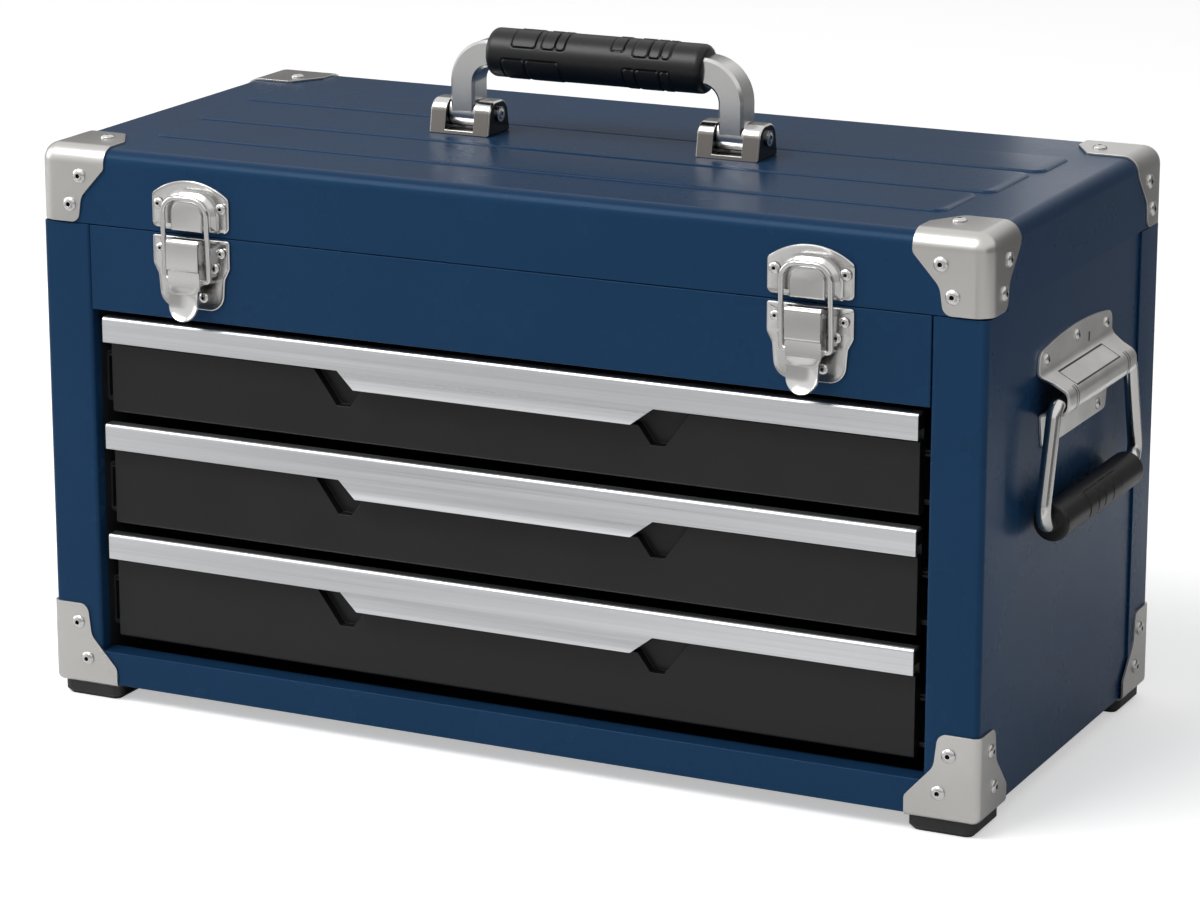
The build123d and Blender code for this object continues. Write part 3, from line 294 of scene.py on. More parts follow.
# Slot or finish, its material's name, its colour in the settings and its look
LOOKS = (
    ("body_paint", "navy powder coat", "paint",
     {"roughness": 0.27, "grain": 1500.0, "bump": 0.04, "shine": 0.13, "shade": 0.05}),
    ("inner_paint", "inner sheet paint", "inner_paint", {"roughness": 0.45, "grain": 1300.0, "bump": 0.08}),
    ("corner_steel", "satin corner plate", "corner",
     {"roughness": 0.30, "grain": 1100.0, "bump": 0.05, "metallic": 1.0, "shade": 0.05}),
    ("plated_steel", "bright latch plate", "plate",
     {"roughness": 0.17, "grain": 1400.0, "bump": 0.03, "metallic": 1.0, "shade": 0.04}),
    ("satin_bow", "satin handle bow", "plate",
     {"roughness": 0.24, "grain": 1200.0, "bump": 0.04, "metallic": 1.0, "shade": 0.04,
      "stretch": (0.4, 1, 0.2)}),
    # The bracket plate gets painted shade on its front, back and side faces
    ("bracket_metal", "bracket plate", "plate",
     {"roughness": 0.18, "grain": 900.0, "bump": 0.04, "metallic": 1.0, "shade": 0.08}),
    ("side_plate", "satin side plate", "side_plate",
     {"roughness": 0.36, "grain": 900.0, "bump": 0.08, "metallic": 1.0, "shade": 0.07, "patch": 40.0,
      "stretch": (1, 0.15, 1)}),
    # Painted shade of the pressed grooves on the side plates
    ("painted_groove_shade", "pressed line", "inner_paint", {"roughness": 0.4, "grain": 900.0, "bump": 0.04}),
    ("drawer_plastic", "black drawer moulding", "plastic",
     {"roughness": 0.42, "grain": 700.0, "bump": 0.28, "shine": 0.3, "shade": 0.10, "patch": 30.0,
      "stretch": (0.35, 1, 1)}),
    ("grip_rubber", "black grip rubber", "rubber",
     {"roughness": 0.36, "grain": 1600.0, "bump": 0.12, "shine": 0.35, "shade": 0.08}),
    ("foot_rubber", "black foot rubber", "rubber", {"roughness": 0.55, "grain": 1000.0, "bump": 0.15}),
    ("zinc_steel", "zinc plated steel", "zinc",
     {"roughness": 0.32, "grain": 500.0, "bump": 0.06, "metallic": 1.0, "shade": 0.10, "patch": 60.0}),
    ("rivet_steel", "bright rivet steel", "plate",
     {"roughness": 0.20, "grain": 1500.0, "bump": 0.03, "metallic": 1.0, "shade": 0.04}),
)
PAINT_TINT = (0.42, 0.68, 1.0, 1.0)  # of the paint's gloss
# Painted shade: black on the brackets' side faces and inside the rivet holes
PAINTED_SIDE_SHADE = (0.02, 0.02, 0.021)
PAINTED_HOLE_SHADE = (0.012, 0.012, 0.012)


def coated(name, colour, group, look):
    """A painted, plated, moulded or rubber finish with fine grain and slow patches."""
    look = {**PLAIN_LOOK, **look}
    metallic, shine, shade, roughness = (look[key] for key in ("metallic", "shine", "shade", "roughness"))
    material, tree, shader = new_material(name, Metallic=metallic, Specular_IOR_Level=shine)
    scales = {"Grain_scale": look["grain"], "Patch_scale": look["patch"], "Stretch": look["stretch"]}
    mix = place_group(tree, group, **scales)
    patches = mix.outputs["Patches"]
    low, high = (roughness * share for share in ROUGH_SHARES)
    tree.links.new(tinted(tree, colour, patches, 1 - shade, 1 + shade), shader.inputs["Base Color"])
    tree.links.new(spread(tree, patches, low, high), shader.inputs["Roughness"])
    rough_up(tree, shader, mix.outputs["Grain"], look["bump"], GRAIN_DEPTH)
    return material


def make_finishes(finish):
    """Every material of the tool box, by the record's slot name or its own."""
    grain = fine_grain_group()
    lines = brushed_group()
    made = {key: coated(name, getattr(finish, colour), grain, look) for key, name, colour, look in LOOKS}
    material, tree, shader = new_material("brushed drawer pull", Metallic=1.0)
    mix = place_group(tree, lines, Run=5.0, Lines=1500.0)
    tree.links.new(tinted(tree, finish.pull, mix.outputs["Tone"], 0.86, 1.12), shader.inputs["Base Color"])
    tree.links.new(spread(tree, mix.outputs["Tone"], 0.24, 0.42), shader.inputs["Roughness"])
    rough_up(tree, shader, mix.outputs["Height"], 0.25, 0.0001)
    made["pull_aluminium"] = material
    shader_of(made["body_paint"]).inputs["Specular Tint"].default_value = PAINT_TINT
    # Painted shade on the brackets by which way they face, and inside the rivet holes
    paint_facing_shade(made["bracket_metal"], facing_group(), finish)
    paint_hole_shade(made["rivet_steel"])
    return made


def shader_of(material):
    """A material's Principled shader."""
    return material.node_tree.nodes["Principled BSDF"]


def paint_facing_shade(material, group, finish):
    """Casting that is bright over its shoulders, with painted shade: dull on its lower front and black on its
    side faces.
    """
    tree = material.node_tree
    colour = shader_of(material).inputs["Base Color"]
    masks = place_group(tree, group)
    front = mixed(tree, masks.outputs["Front"], colour.links[0].from_socket, finish.bracket)
    tree.links.new(mixed(tree, masks.outputs["Side"], front, PAINTED_SIDE_SHADE), colour)


def paint_hole_shade(material):
    """Rivet steel with painted shade: black inside the head's hole."""
    tree = material.node_tree
    colour = shader_of(material).inputs["Base Color"]
    hole = add(tree, "ShaderNodeAttribute", attribute_name="hole").outputs["Fac"]
    tree.links.new(mixed(tree, hole, colour.links[0].from_socket, PAINTED_HOLE_SHADE), colour)


FINISHES = {}


# ---- Mesh helpers ------------------------------------------------------------------------------
def settle(obj, node, stands_for=(), finish=None):
    """Gives a finished piece its body, its finish and the CAD nodes that it stands for."""
    slot = SLOT_OF[node]
    obj.data.materials.clear()
    obj.data.materials.append(FINISHES[finish or slot])
    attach(obj, BODY_OF[node])
    if stands_for:
        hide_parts(*stands_for)
    return obj


def link(name, mesh):
    """An object for a mesh, in the scene."""
    obj = bpy.data.objects.new(name, mesh)
    bpy.context.scene.collection.objects.link(obj)
    return obj


def joined(node, whole=False):
    """A CAD node's form with its loose triangles joined, and its flat faces made whole where asked."""
    form = bmesh.new()
    source = NODES[node].data
    places = [vertex.co.copy() for vertex in source.vertices]
    corners = [form.verts.new(place) for place in places]
    for face in source.polygons:
        try:
            form.faces.new([corners[index] for index in face.vertices])
        except ValueError:
            continue
    bmesh.ops.remove_doubles(form, verts=form.verts, dist=2e-6)
    bmesh.ops.dissolve_degenerate(form, edges=form.edges, dist=1e-6)
    if whole:
        make_whole(form)
    return form


def make_whole(form):
    """Joins the triangles of each flat face."""
    bmesh.ops.dissolve_limit(form, angle_limit=math.radians(0.4), verts=form.verts, edges=form.edges)


def span(node):
    """Low and high corners of a CAD node."""
    places = [vertex.co for vertex in NODES[node].data.vertices]
    return [Vector([end(place[axis] for place in places) for axis in range(3)]) for end in (min, max)]


def bake(obj):
    """Turns an object's modifiers into plain mesh."""
    bpy.context.view_layer.update()
    seen = obj.evaluated_get(bpy.context.evaluated_depsgraph_get())
    mesh = bpy.data.meshes.new_from_object(seen)
    obj.modifiers.clear()
    old = obj.data
    obj.data = mesh
    bpy.data.meshes.remove(old)
    return obj


def smoothed(form, name, crease=38.0):
    """An object of a form that is smooth over its curves and sharp at its folds."""
    mesh = bpy.data.meshes.new(name)
    form.to_mesh(mesh)
    form.free()
    mesh.shade_smooth()
    mesh.set_sharp_from_angle(angle=math.radians(crease))
    return link(name, mesh)


def eased(obj, edge, crease=38.0, segments=2):
    """Rounds an object's folds by some millimetres."""
    ease = obj.modifiers.new("ease", "BEVEL")
    ease.width = edge * MM
    ease.segments = segments
    ease.limit_method = "ANGLE"
    ease.angle_limit = math.radians(crease)
    ease.harden_normals = True
    ease.use_clamp_overlap = True
    return bake(obj)


def thickened(obj, thickness, offset):
    """Gives a sheet its thickness, in millimetres."""
    thicken = obj.modifiers.new("thicken", "SOLIDIFY")
    thicken.thickness = thickness * MM
    thicken.offset = offset
    return bake(obj)


def evened(obj):
    """Shades flat faces flat where they run into curves."""
    even = obj.modifiers.new("even", "WEIGHTED_NORMAL")
    even.keep_sharp = True
    return bake(obj)


def dressed(node, name, edge=0.25, crease=38.0, segments=2, whole=True, finish=None):
    """A piece in the form of a CAD node, smooth over its curves and eased along its edges in millimetres."""
    obj = smoothed(joined(node, whole and edge > 0), name, crease)
    if edge:
        eased(obj, edge, crease, segments)
    else:
        evened(obj)
    return settle(obj, node, (node,), finish)


# Folded rim of a latch plate, in millimetres
RIM_WIDTH = 1.3
RIM_DEPTH = 0.35
RIM_EDGE = 0.25  # rounding of its edges


def rimmed(node, name):
    """A flat plate in the form of a CAD node, with a narrow folded rim round its front."""
    form = joined(node, whole=True)
    form.normal_update()
    levels = {}
    for face in form.faces:
        if face.normal.y < -0.999:
            levels.setdefault(round(face.calc_center_median().y / (0.05 * MM)), []).append(face)
    front = max(levels.values(), key=lambda faces: sum(face.calc_area() for face in faces))
    measures = {"thickness": RIM_WIDTH * MM, "depth": -RIM_DEPTH * MM}
    bmesh.ops.inset_region(form, faces=front, use_even_offset=True, use_boundary=True, **measures)
    return settle(eased(smoothed(form, name, 30.0), RIM_EDGE, 30.0), node, stands_for=(node,))


def cut_to(form, axis, low, high):
    """Keeps the part of a form between two levels on one axis, and gives the cut edges."""
    edges = []
    for level, side in ((low, -1), (high, 1)):
        if level is None:
            continue
        out = Vector([side if index == axis else 0 for index in range(3)])
        at = Vector([level if index == axis else 0 for index in range(3)])
        whole = form.verts[:] + form.edges[:] + form.faces[:]
        cut = bmesh.ops.bisect_plane(form, geom=whole, dist=1e-7, plane_co=at, plane_no=out, clear_outer=True)
        edges += [item for item in cut["geom_cut"] if isinstance(item, bmesh.types.BMEdge)]
    return [edge for edge in edges if edge.is_valid]


# Thumb tongue of a lever, in millimetres
HOOD_END = 17.4  # above the tip, where the folded hood is cut
TONGUE_LENGTH = 18.2
TONGUE_TIP_R = 8.2
TONGUE_TOP_HALF = 9.2
TONGUE_DISH = 1.5
TONGUE_ROOT_OUT = 9.3  # distances out of the case's front
TONGUE_TIP_OUT = 12.5
TONGUE_T = 1.0
TONGUE_ROWS = 14  # on the straight part, and as many round the tip
TONGUE_COLUMNS = 24


def lever_hood(side, name):
    """The lever's two folded steps and cheeks, without its tongue."""
    node = f"latch_lever_{side}"
    form = joined(node)
    edges = cut_to(form, 2, span(node)[0].z + HOOD_END * MM, None)
    bmesh.ops.holes_fill(form, edges=edges, sides=0)
    make_whole(form)
    return eased(smoothed(form, name), 0.5, segments=3)


def lever_tongue(side, name):
    """The lever's thumb tongue: dished inside its rim, turned out towards a round tip."""
    low, high = span(f"latch_lever_{side}")
    middle, tip = (low.x + high.x) / 2 / MM, low.z / MM
    centre, top = tip + TONGUE_TIP_R, tip + TONGUE_LENGTH
    straight = (TONGUE_LENGTH - TONGUE_TIP_R) / TONGUE_ROWS
    rows = [top - index * straight for index in range(TONGUE_ROWS)]
    bend = math.pi / 2 / TONGUE_ROWS
    rows += [centre - TONGUE_TIP_R * math.sin(bend * index) for index in range(TONGUE_ROWS + 1)]
    form = bmesh.new()
    sheet = []
    for level in rows:
        along = (top - level) / TONGUE_LENGTH
        below = max(centre - level, 0.0)
        half = math.sqrt(max(TONGUE_TIP_R**2 - below**2, 0.0))
        half += (TONGUE_TOP_HALF - TONGUE_TIP_R) * (1 - stepped(along, 0.0, 0.2))
        widest = max(TONGUE_TIP_R, half if level > centre else 0.0)
        flare = TONGUE_ROOT_OUT + (TONGUE_TIP_OUT - TONGUE_ROOT_OUT) * along**1.7
        line = []
        for number in range(TONGUE_COLUMNS + 1):
            x = half * (2 * number / TONGUE_COLUMNS - 1)
            reach = min(math.hypot(x, below) / widest, 1.0)
            proud = flare - TONGUE_DISH * stepped(along, 0.0, 0.3) * (1 - reach**2.6)
            spot = ((middle + x) * MM, low.y + (TONGUE_TIP_OUT - proud) * MM, level * MM)
            line.append(form.verts.new(spot))
        sheet.append(line)
    for before, after in zip(sheet, sheet[1:]):
        for number in range(TONGUE_COLUMNS):
            form.faces.new((before[number], after[number], after[number + 1], before[number + 1]))
    bmesh.ops.remove_doubles(form, verts=form.verts, dist=1e-5)
    obj = thickened(smoothed(form, name, 60.0), TONGUE_T, -1.0)
    obj.data.set_sharp_from_angle(angle=math.radians(50))
    return eased(obj, 0.28, 50.0)


# Lines pressed into a side plate, drawn as thin dark sheets of painted shade: from and to along it from its
# middle, and from and to upwards
PLATE_LINES = (
    (-39.0, -38.4, 191.0, 208.0),
    (-36.4, -35.8, 191.0, 208.0),
    (38.4, 39.0, 191.0, 208.0),
    (35.8, 36.4, 191.0, 208.0),
    (-33.0, 29.0, 207.2, 207.7),
    (-33.0, 29.0, 212.6, 213.1),
    (-33.5, -33.0, 207.2, 213.1),
    (29.0, 29.5, 207.2, 213.1),
    (17.0, 18.8, 216.5, 221.5),
)
LINE_T = 0.16  # thickness of a line's sheet
LINE_CELL = (0.4, 0.6)  # across and up, in which only the outermost faces of a line are kept
LINE_DEPTH = 0.9  # how far behind the outermost face a hidden one lies


def plate_lines(side, name):
    """Thin dark lines of painted shade that lie on the form of a side plate, along its pressed lines."""
    node = f"side_plate_{side}"
    low, high = span(node)
    middle = (low.y + high.y) / 2
    outward = 1 if side == "right" else -1
    nearest = abs(low.x + high.x) / 4
    whole = bmesh.new()
    for start, end, foot, top in PLATE_LINES:
        form = joined(node)
        cut_to(form, 1, middle + start * MM, middle + end * MM)
        cut_to(form, 2, foot * MM, top * MM)
        form.normal_update()
        hidden = [
            face
            for face in form.faces
            if face.normal.x * outward < 0.05 or face.calc_center_median().x * outward < nearest
        ]
        bmesh.ops.delete(form, geom=hidden, context="FACES")
        part = bpy.data.meshes.new("line")
        form.to_mesh(part)
        form.free()
        whole.from_mesh(part)
        bpy.data.meshes.remove(part)
    drop_hidden(whole, outward)
    return thickened(smoothed(whole, name, 60.0), LINE_T, 0.0)


def drop_hidden(form, outward):
    """Leaves only the outermost faces of a pressed sheet's slices."""
    spots = {face: face.calc_center_median() for face in form.faces}
    across, up = LINE_CELL[0] * MM, LINE_CELL[1] * MM
    cells = {face: (round(spot.y / across), round(spot.z / up)) for face, spot in spots.items()}
    reach = {}
    for face, spot in spots.items():
        reach[cells[face]] = max(reach.get(cells[face], -1.0), spot.x * outward)
    inner = [face for face, spot in spots.items() if spot.x * outward < reach[cells[face]] - LINE_DEPTH * MM]
    bmesh.ops.delete(form, geom=inner, context="FACES")


# ---- Rivets: one head swept round by nodes, set on the places of the CAD heads ------------------
PROFILE = (
    # along the profile, share of the way in from the rim to the hole, share of the crown's height
    (0.00, 1.00, 0.00),
    (0.08, 1.00, 0.30),
    (0.14, 0.97, 0.42),
    (0.24, 0.84, 0.58),
    (0.38, 0.60, 0.80),
    (0.52, 0.32, 0.95),
    (0.64, 0.10, 1.00),
    (0.72, 0.00, 0.92),
    (0.80, -0.02, 0.70),
    (0.90, -0.06, 0.20),
    (1.00, -0.10, 0.10),
)
HOLE_SHADE_FROM = 0.69  # along the profile, where the painted black shade of the hole begins
# Pins of the carrying handle's brackets, in millimetres
PIN_LENGTH = 37.4
PIN_HEAD_R = 3.7
PIN_HEAD_SUNK = 1.3  # foot of the head inside the pin's end


def input_id(tree, label):
    """The identifier of a group's input socket."""
    items = tree.interface.items_tree
    return next(item.identifier for item in items if item.name == label and item.in_out == "INPUT")


def curve_node(tree, given, column):
    """A Float Curve node through one column of the rivet's profile, from -1 to 1."""
    node = add(tree, "ShaderNodeFloatCurve", {"Value": given})
    mapping = node.mapping
    mapping.clip_min_y = -1.0
    line = mapping.curves[0].points
    line[0].location = (PROFILE[0][0], PROFILE[0][column])
    line[1].location = (PROFILE[-1][0], PROFILE[-1][column])
    for row in PROFILE[1:-1]:
        line.new(row[0], row[column])
    mapping.update()
    return node.outputs[0]


def named_value(tree, name, kind):
    """The output of a Named Attribute node."""
    node = add(tree, "GeometryNodeInputNamedAttribute", {"Name": name}, data_type=kind)
    return node.outputs["Attribute"]


def rivet_tree():
    """Nodes that put a domed head with a hole on every point, by its own radius and facing."""
    tree = bpy.data.node_groups.new("rivet heads", "GeometryNodeTree")
    face = tree.interface
    face.new_socket(name="Places", in_out="INPUT", socket_type="NodeSocketGeometry")
    for label, start in (("Hole", 0.31), ("Crown", 0.48)):
        face.new_socket(name=label, in_out="INPUT", socket_type="NodeSocketFloat").default_value = start
    for label, start in (("Sides", 32), ("Steps", 26)):
        face.new_socket(name=label, in_out="INPUT", socket_type="NodeSocketInt").default_value = start
    face.new_socket(name="Finish", in_out="INPUT", socket_type="NodeSocketMaterial")
    face.new_socket(name="Heads", in_out="OUTPUT", socket_type="NodeSocketGeometry")
    given = tree.nodes.new("NodeGroupInput").outputs
    result = tree.nodes.new("NodeGroupOutput")
    counts = {"Size X": 1.0, "Size Y": 1.0, "Vertices X": given["Sides"], "Vertices Y": given["Steps"]}
    sheet = add(tree, "GeometryNodeMeshGrid", counts)
    position = tree.nodes.new("GeometryNodeInputPosition").outputs[0]
    place = add(tree, "ShaderNodeSeparateXYZ", {0: position}).outputs
    turn = maths(tree, "MULTIPLY", maths(tree, "ADD", place["X"], 0.5), math.tau)
    along = maths(tree, "ADD", place["Y"], 0.5)
    inward = curve_node(tree, along, 1)
    dome = maths(tree, "MULTIPLY", inward, maths(tree, "SUBTRACT", 1.0, given["Hole"]))
    closing = maths(tree, "LESS_THAN", along, 0.98)
    reach = maths(tree, "MULTIPLY", maths(tree, "ADD", dome, given["Hole"]), closing)
    rise = maths(tree, "MULTIPLY", curve_node(tree, along, 2), given["Crown"])
    across = maths(tree, "MULTIPLY", reach, maths(tree, "COSINE", turn))
    deep = maths(tree, "MULTIPLY", reach, maths(tree, "SINE", turn))
    spot = add(tree, "ShaderNodeCombineXYZ", {"X": across, "Y": deep, "Z": rise}).outputs[0]
    # Marks the inside of the hole for the painted shade of the rivet finish
    inside = maths(tree, "GREATER_THAN", along, HOLE_SHADE_FROM)
    marks = {"Geometry": sheet.outputs["Mesh"], "Name": "hole", "Value": inside}
    marked = add(tree, "GeometryNodeStoreNamedAttribute", marks, data_type="FLOAT").outputs[0]
    head = add(tree, "GeometryNodeSetPosition", {"Geometry": marked, "Position": spot}).outputs[0]
    head = add(tree, "GeometryNodeMergeByDistance", {"Geometry": head, "Distance": 0.0005}).outputs[0]
    head = add(tree, "GeometryNodeSetShadeSmooth", {"Geometry": head}).outputs[0]
    facing = named_value(tree, "facing", "FLOAT_VECTOR")
    radius = named_value(tree, "radius", "FLOAT")
    turned = add(tree, "FunctionNodeAlignRotationToVector", {"Vector": facing}, axis="Z").outputs[0]
    spots = {"Points": given["Places"], "Instance": head, "Rotation": turned, "Scale": radius}
    heads = add(tree, "GeometryNodeInstanceOnPoints", spots)
    solid = add(tree, "GeometryNodeRealizeInstances", {"Geometry": heads.outputs[0]}).outputs[0]
    finished = add(tree, "GeometryNodeSetMaterial", {"Geometry": solid, "Material": given["Finish"]}).outputs[0]
    tree.links.new(finished, result.inputs[0])
    return tree


def islands(form):
    """The corners of each separate solid in a form."""
    left = set(form.verts)
    while left:
        found, edge_of_search = [], [left.pop()]
        while edge_of_search:
            corner = edge_of_search.pop()
            found.append(corner.co.copy())
            for line in corner.link_edges:
                other = line.other_vert(corner)
                if other in left:
                    left.remove(other)
                    edge_of_search.append(other)
        yield found


def spread_of(points):
    """The middle of some points and their greatest distance from it."""
    middle = sum(points, Vector()) / len(points)
    return middle, max((point - middle).length for point in points)


def rivet_places(node):
    """Foot centre, facing and radius of each rivet head in a CAD node."""
    form = joined(node)
    places = []
    for corners in islands(form):
        ends = [[min(c[axis] for c in corners), max(c[axis] for c in corners)] for axis in range(3)]
        axis = min(range(3), key=lambda index: ends[index][1] - ends[index][0])
        rings = [spread_of([c for c in corners if abs(c[axis] - level) < 1e-5]) for level in ends[axis]]
        foot, crown = sorted(rings, key=lambda ring: -ring[1])
        places.append((foot[0], (crown[0] - foot[0]).normalized(), foot[1]))
    form.free()
    return places


def rivet_heads(node, name, tree, settings, places, stands_for):
    """Heads of one CAD node as one mesh."""
    mesh = bpy.data.meshes.new(name)
    mesh.from_pydata([place for place, facing, radius in places], [], [])
    mesh.attributes.new("facing", "FLOAT_VECTOR", "POINT")
    mesh.attributes.new("radius", "FLOAT", "POINT")
    for index, (place, facing, radius) in enumerate(places):
        mesh.attributes["facing"].data[index].vector = facing
        mesh.attributes["radius"].data[index].value = radius
    obj = link(name, mesh)
    heads = obj.modifiers.new("heads", "NODES")
    heads.node_group = tree
    heads[input_id(tree, "Hole")] = settings.hole
    heads[input_id(tree, "Crown")] = settings.crown
    heads[input_id(tree, "Finish")] = FINISHES[SLOT_OF[node]]
    bake(obj)
    return settle(obj, node, stands_for=stands_for)


def pin_places():
    """Places of the domed heads on both ends of the two bracket pins."""
    low, high = span("handle_pins")
    middle = (low + high) / 2
    ends = (low.x, low.x + PIN_LENGTH * MM, high.x - PIN_LENGTH * MM, high.x)
    return [
        (
            Vector((end - facing * PIN_HEAD_SUNK * MM, middle.y, middle.z)),
            Vector((facing, 0, 0)),
            PIN_HEAD_R * MM,
        )
        for end, facing in zip(ends, (-1, 1, -1, 1))
    ]


# ---- Grips: a tube whose skin is cut back round raised pads -------------------------------------
# In millimetres, apart from the share and the count
GRIP_STEP = 0.5
END_RINGS = 6  # on a rounded end
SKIN_SHARE = 0.45  # of a groove's depth, by which the skin lies below the pads
PAD_RISE = (0.05, 0.55)  # inside a pad's outline, where its face starts and ends to rise
PAD_MARGIN = 3.0  # outside a pad, beyond which it has no effect


def pad_distance(along, round_way, pad, corner):
    """Distance outside a rounded rectangle of the unrolled skin, negative inside it."""
    low, high, start, end = pad
    across = abs(along - (low + high) / 2) - (high - low) / 2 + corner
    up = abs(round_way - (start + end) / 2) - (end - start) / 2 + corner
    return math.hypot(max(across, 0.0), max(up, 0.0)) + min(max(across, up), 0.0) - corner


def stepped(value, low, high):
    """0 below low, 1 above high and a smooth rise between them."""
    share = min(max((value - low) / (high - low), 0.0), 1.0)
    return share * share * (3 - 2 * share)


def padded_grip(radius, length, pads, settings, bore, end_round, corner, sides=144):
    """A grip along X with rounded ends, a bore and raised pads inside grooves."""
    half = length / 2
    groove = settings.groove / MM
    drop = settings.pad_rise / MM
    skin = radius - drop * SKIN_SHARE
    straight = half - end_round
    count = round(2 * straight / GRIP_STEP)
    rows = [(-straight + index * 2 * straight / count, 0.0) for index in range(count + 1)]
    bend = [math.pi / 2 * share / END_RINGS for share in range(1, END_RINGS + 1)]
    right = [(straight + end_round * math.sin(angle), end_round * (1 - math.cos(angle))) for angle in bend]
    left = [(-along, inset) for along, inset in reversed(right)]
    form = bmesh.new()
    rings = []
    for along, inset in left + rows + right:
        ring = []
        for number in range(sides):
            turn = math.tau * number / sides
            level = skin
            for low, high, start, end in pads:
                turned = (turn - math.radians((start + end) / 2) + math.pi) % math.tau - math.pi
                way = turned * radius
                reach = math.radians(end - start) / 2 * radius
                if abs(way) > reach + PAD_MARGIN or not low - PAD_MARGIN <= along <= high + PAD_MARGIN:
                    continue
                gap = pad_distance(along, way, (low, high, -reach, reach), corner)
                if gap < 0:
                    level = max(level, skin + (radius - skin) * stepped(-gap, *PAD_RISE))
                level -= drop * (1 - stepped(abs(gap), 0.0, groove / 2))
            level -= inset
            ring.append(form.verts.new((along * MM, -level * math.cos(turn) * MM, level * math.sin(turn) * MM)))
        rings.append(ring)
    turns = [math.tau * number / sides for number in range(sides)]
    for along in (half, -half):
        spots = [(along * MM, -bore * math.cos(turn) * MM, bore * math.sin(turn) * MM) for turn in turns]
        rings.append([form.verts.new(spot) for spot in spots])
    for before, after in zip(rings, rings[1:] + rings[:1]):
        for number in range(sides):
            following = (number + 1) % sides
            form.faces.new((before[number], before[following], after[following], after[number]))
    bmesh.ops.recalc_face_normals(form, faces=form.faces)
    return form


def carry_pads():
    """Pads of the carrying grip: from and to along it, and from and to round it from its front."""
    upper = [(-45.6, -31.9), (-28.6, -21.0), (-20.6, -15.4), (22.8, 31.4), (31.8, 38.2), (38.6, 43.8)]
    lower = [(-50.8, -37.8), (-37.4, -18.2), (18.0, 24.6), (25.0, 38.2), (38.6, 44.2)]
    front = [(low, high, 25, 86) for low, high in upper] + [(10.6, 17.6, 34, 86)]
    under = [(low, high, -78, -5) for low, high in lower]
    return front + under + [(low, high, 180 - end, 180 - start) for low, high, start, end in front + under]


def side_pads():
    """Pads of a side grip, in rings between plain ends."""
    bands = [(-24.0, -13.0), (-12.4, -3.0), (-2.4, 9.0), (9.6, 22.0)]
    front = [(low, high, -28, 62) for low, high in bands]
    return front + [(low, high, 180 - end, 180 - start) for low, high, start, end in front]


# ---- Stage -------------------------------------------------------------------------------------
# Cards that only metal and gloss see: name, place, point aimed at, size, darkest and lightest grey, waves
CARDS = (
    ("rear card", (-1.0, 2.8, 0.9), (0, 0, 0.3), (7.0, 1.9), 0.08, 0.34, 0.0),
    ("front card", (0.6, -3.4, 0.5), (0, 0, 0.2), (7.0, 2.2), 0.34, 0.6, 0.0),
    ("right card", (3.2, -0.2, 0.5), (0, 0, 0.2), (5.0, 2.2), 0.06, 0.22, 0.0),
    ("low card", (1.3, 0.62, 0.2), (1.3, 0, 0.2), (2.6, 1.1), 0.10, 0.18, 0.0),
    ("floor card", (-0.1, -1.05, 0.004), (-0.1, -1.05, 1.0), (3.4, 1.7), 0.42, 0.92, 5.0),
)
EDGE_FADE = 7.0  # the higher, the narrower a card's soft edges
FLOOR_SIZE = 9.0  # half of its width
FLOOR_GLOW = 0.45  # seen only by the camera, to meet the white background


def make_camera(stage):
    """The camera at the photograph's viewing angle."""
    data = bpy.data.cameras.new("camera")
    data.lens = stage.lens
    data.sensor_width = 36.0
    camera = bpy.data.objects.new("camera", data)
    camera.location = stage.place
    camera.rotation_euler = (math.pi / 2 - stage.dip, 0.0, stage.turn)
    bpy.context.scene.collection.objects.link(camera)
    bpy.context.scene.camera = camera


def turned_to(place, aim):
    """The turn of a lamp or card that looks from one point at another."""
    return (Vector(aim) - Vector(place)).to_track_quat("-Z", "Y").to_euler()


def make_lamp(name, place, aim, size, power):
    """A rectangular soft lamp aimed at a point."""
    data = bpy.data.lights.new(name, "AREA")
    data.shape = "RECTANGLE"
    data.size, data.size_y = size
    data.energy = power
    lamp = bpy.data.objects.new(name, data)
    lamp.location = place
    lamp.rotation_euler = turned_to(place, aim)
    bpy.context.scene.collection.objects.link(lamp)


def make_world(strength):
    """Even light from all round, which the camera, metal and glass see as white."""
    world = bpy.data.worlds.new("surroundings")
    world.use_nodes = True
    tree = world.node_tree
    tree.nodes.clear()
    rays = add(tree, "ShaderNodeLightPath")
    seen = maths(tree, "MAXIMUM", rays.outputs["Is Camera Ray"], rays.outputs["Is Glossy Ray"])
    seen = maths(tree, "MAXIMUM", seen, rays.outputs["Is Transmission Ray"])
    level = add(tree, "ShaderNodeMapRange", {"Value": seen, "To Min": strength, "To Max": 1.0}).outputs[0]
    sky = add(tree, "ShaderNodeBackground", {"Color": (1, 1, 1, 1), "Strength": level})
    tree.links.new(sky.outputs[0], add(tree, "ShaderNodeOutputWorld").inputs["Surface"])
    bpy.context.scene.world = world


def flat_sheet(name, half, material):
    """A flat square of one face."""
    form = bmesh.new()
    bmesh.ops.create_grid(form, x_segments=1, y_segments=1, size=half)
    mesh = bpy.data.meshes.new(name)
    form.to_mesh(mesh)
    form.free()
    mesh.materials.append(material)
    return link(name, mesh)


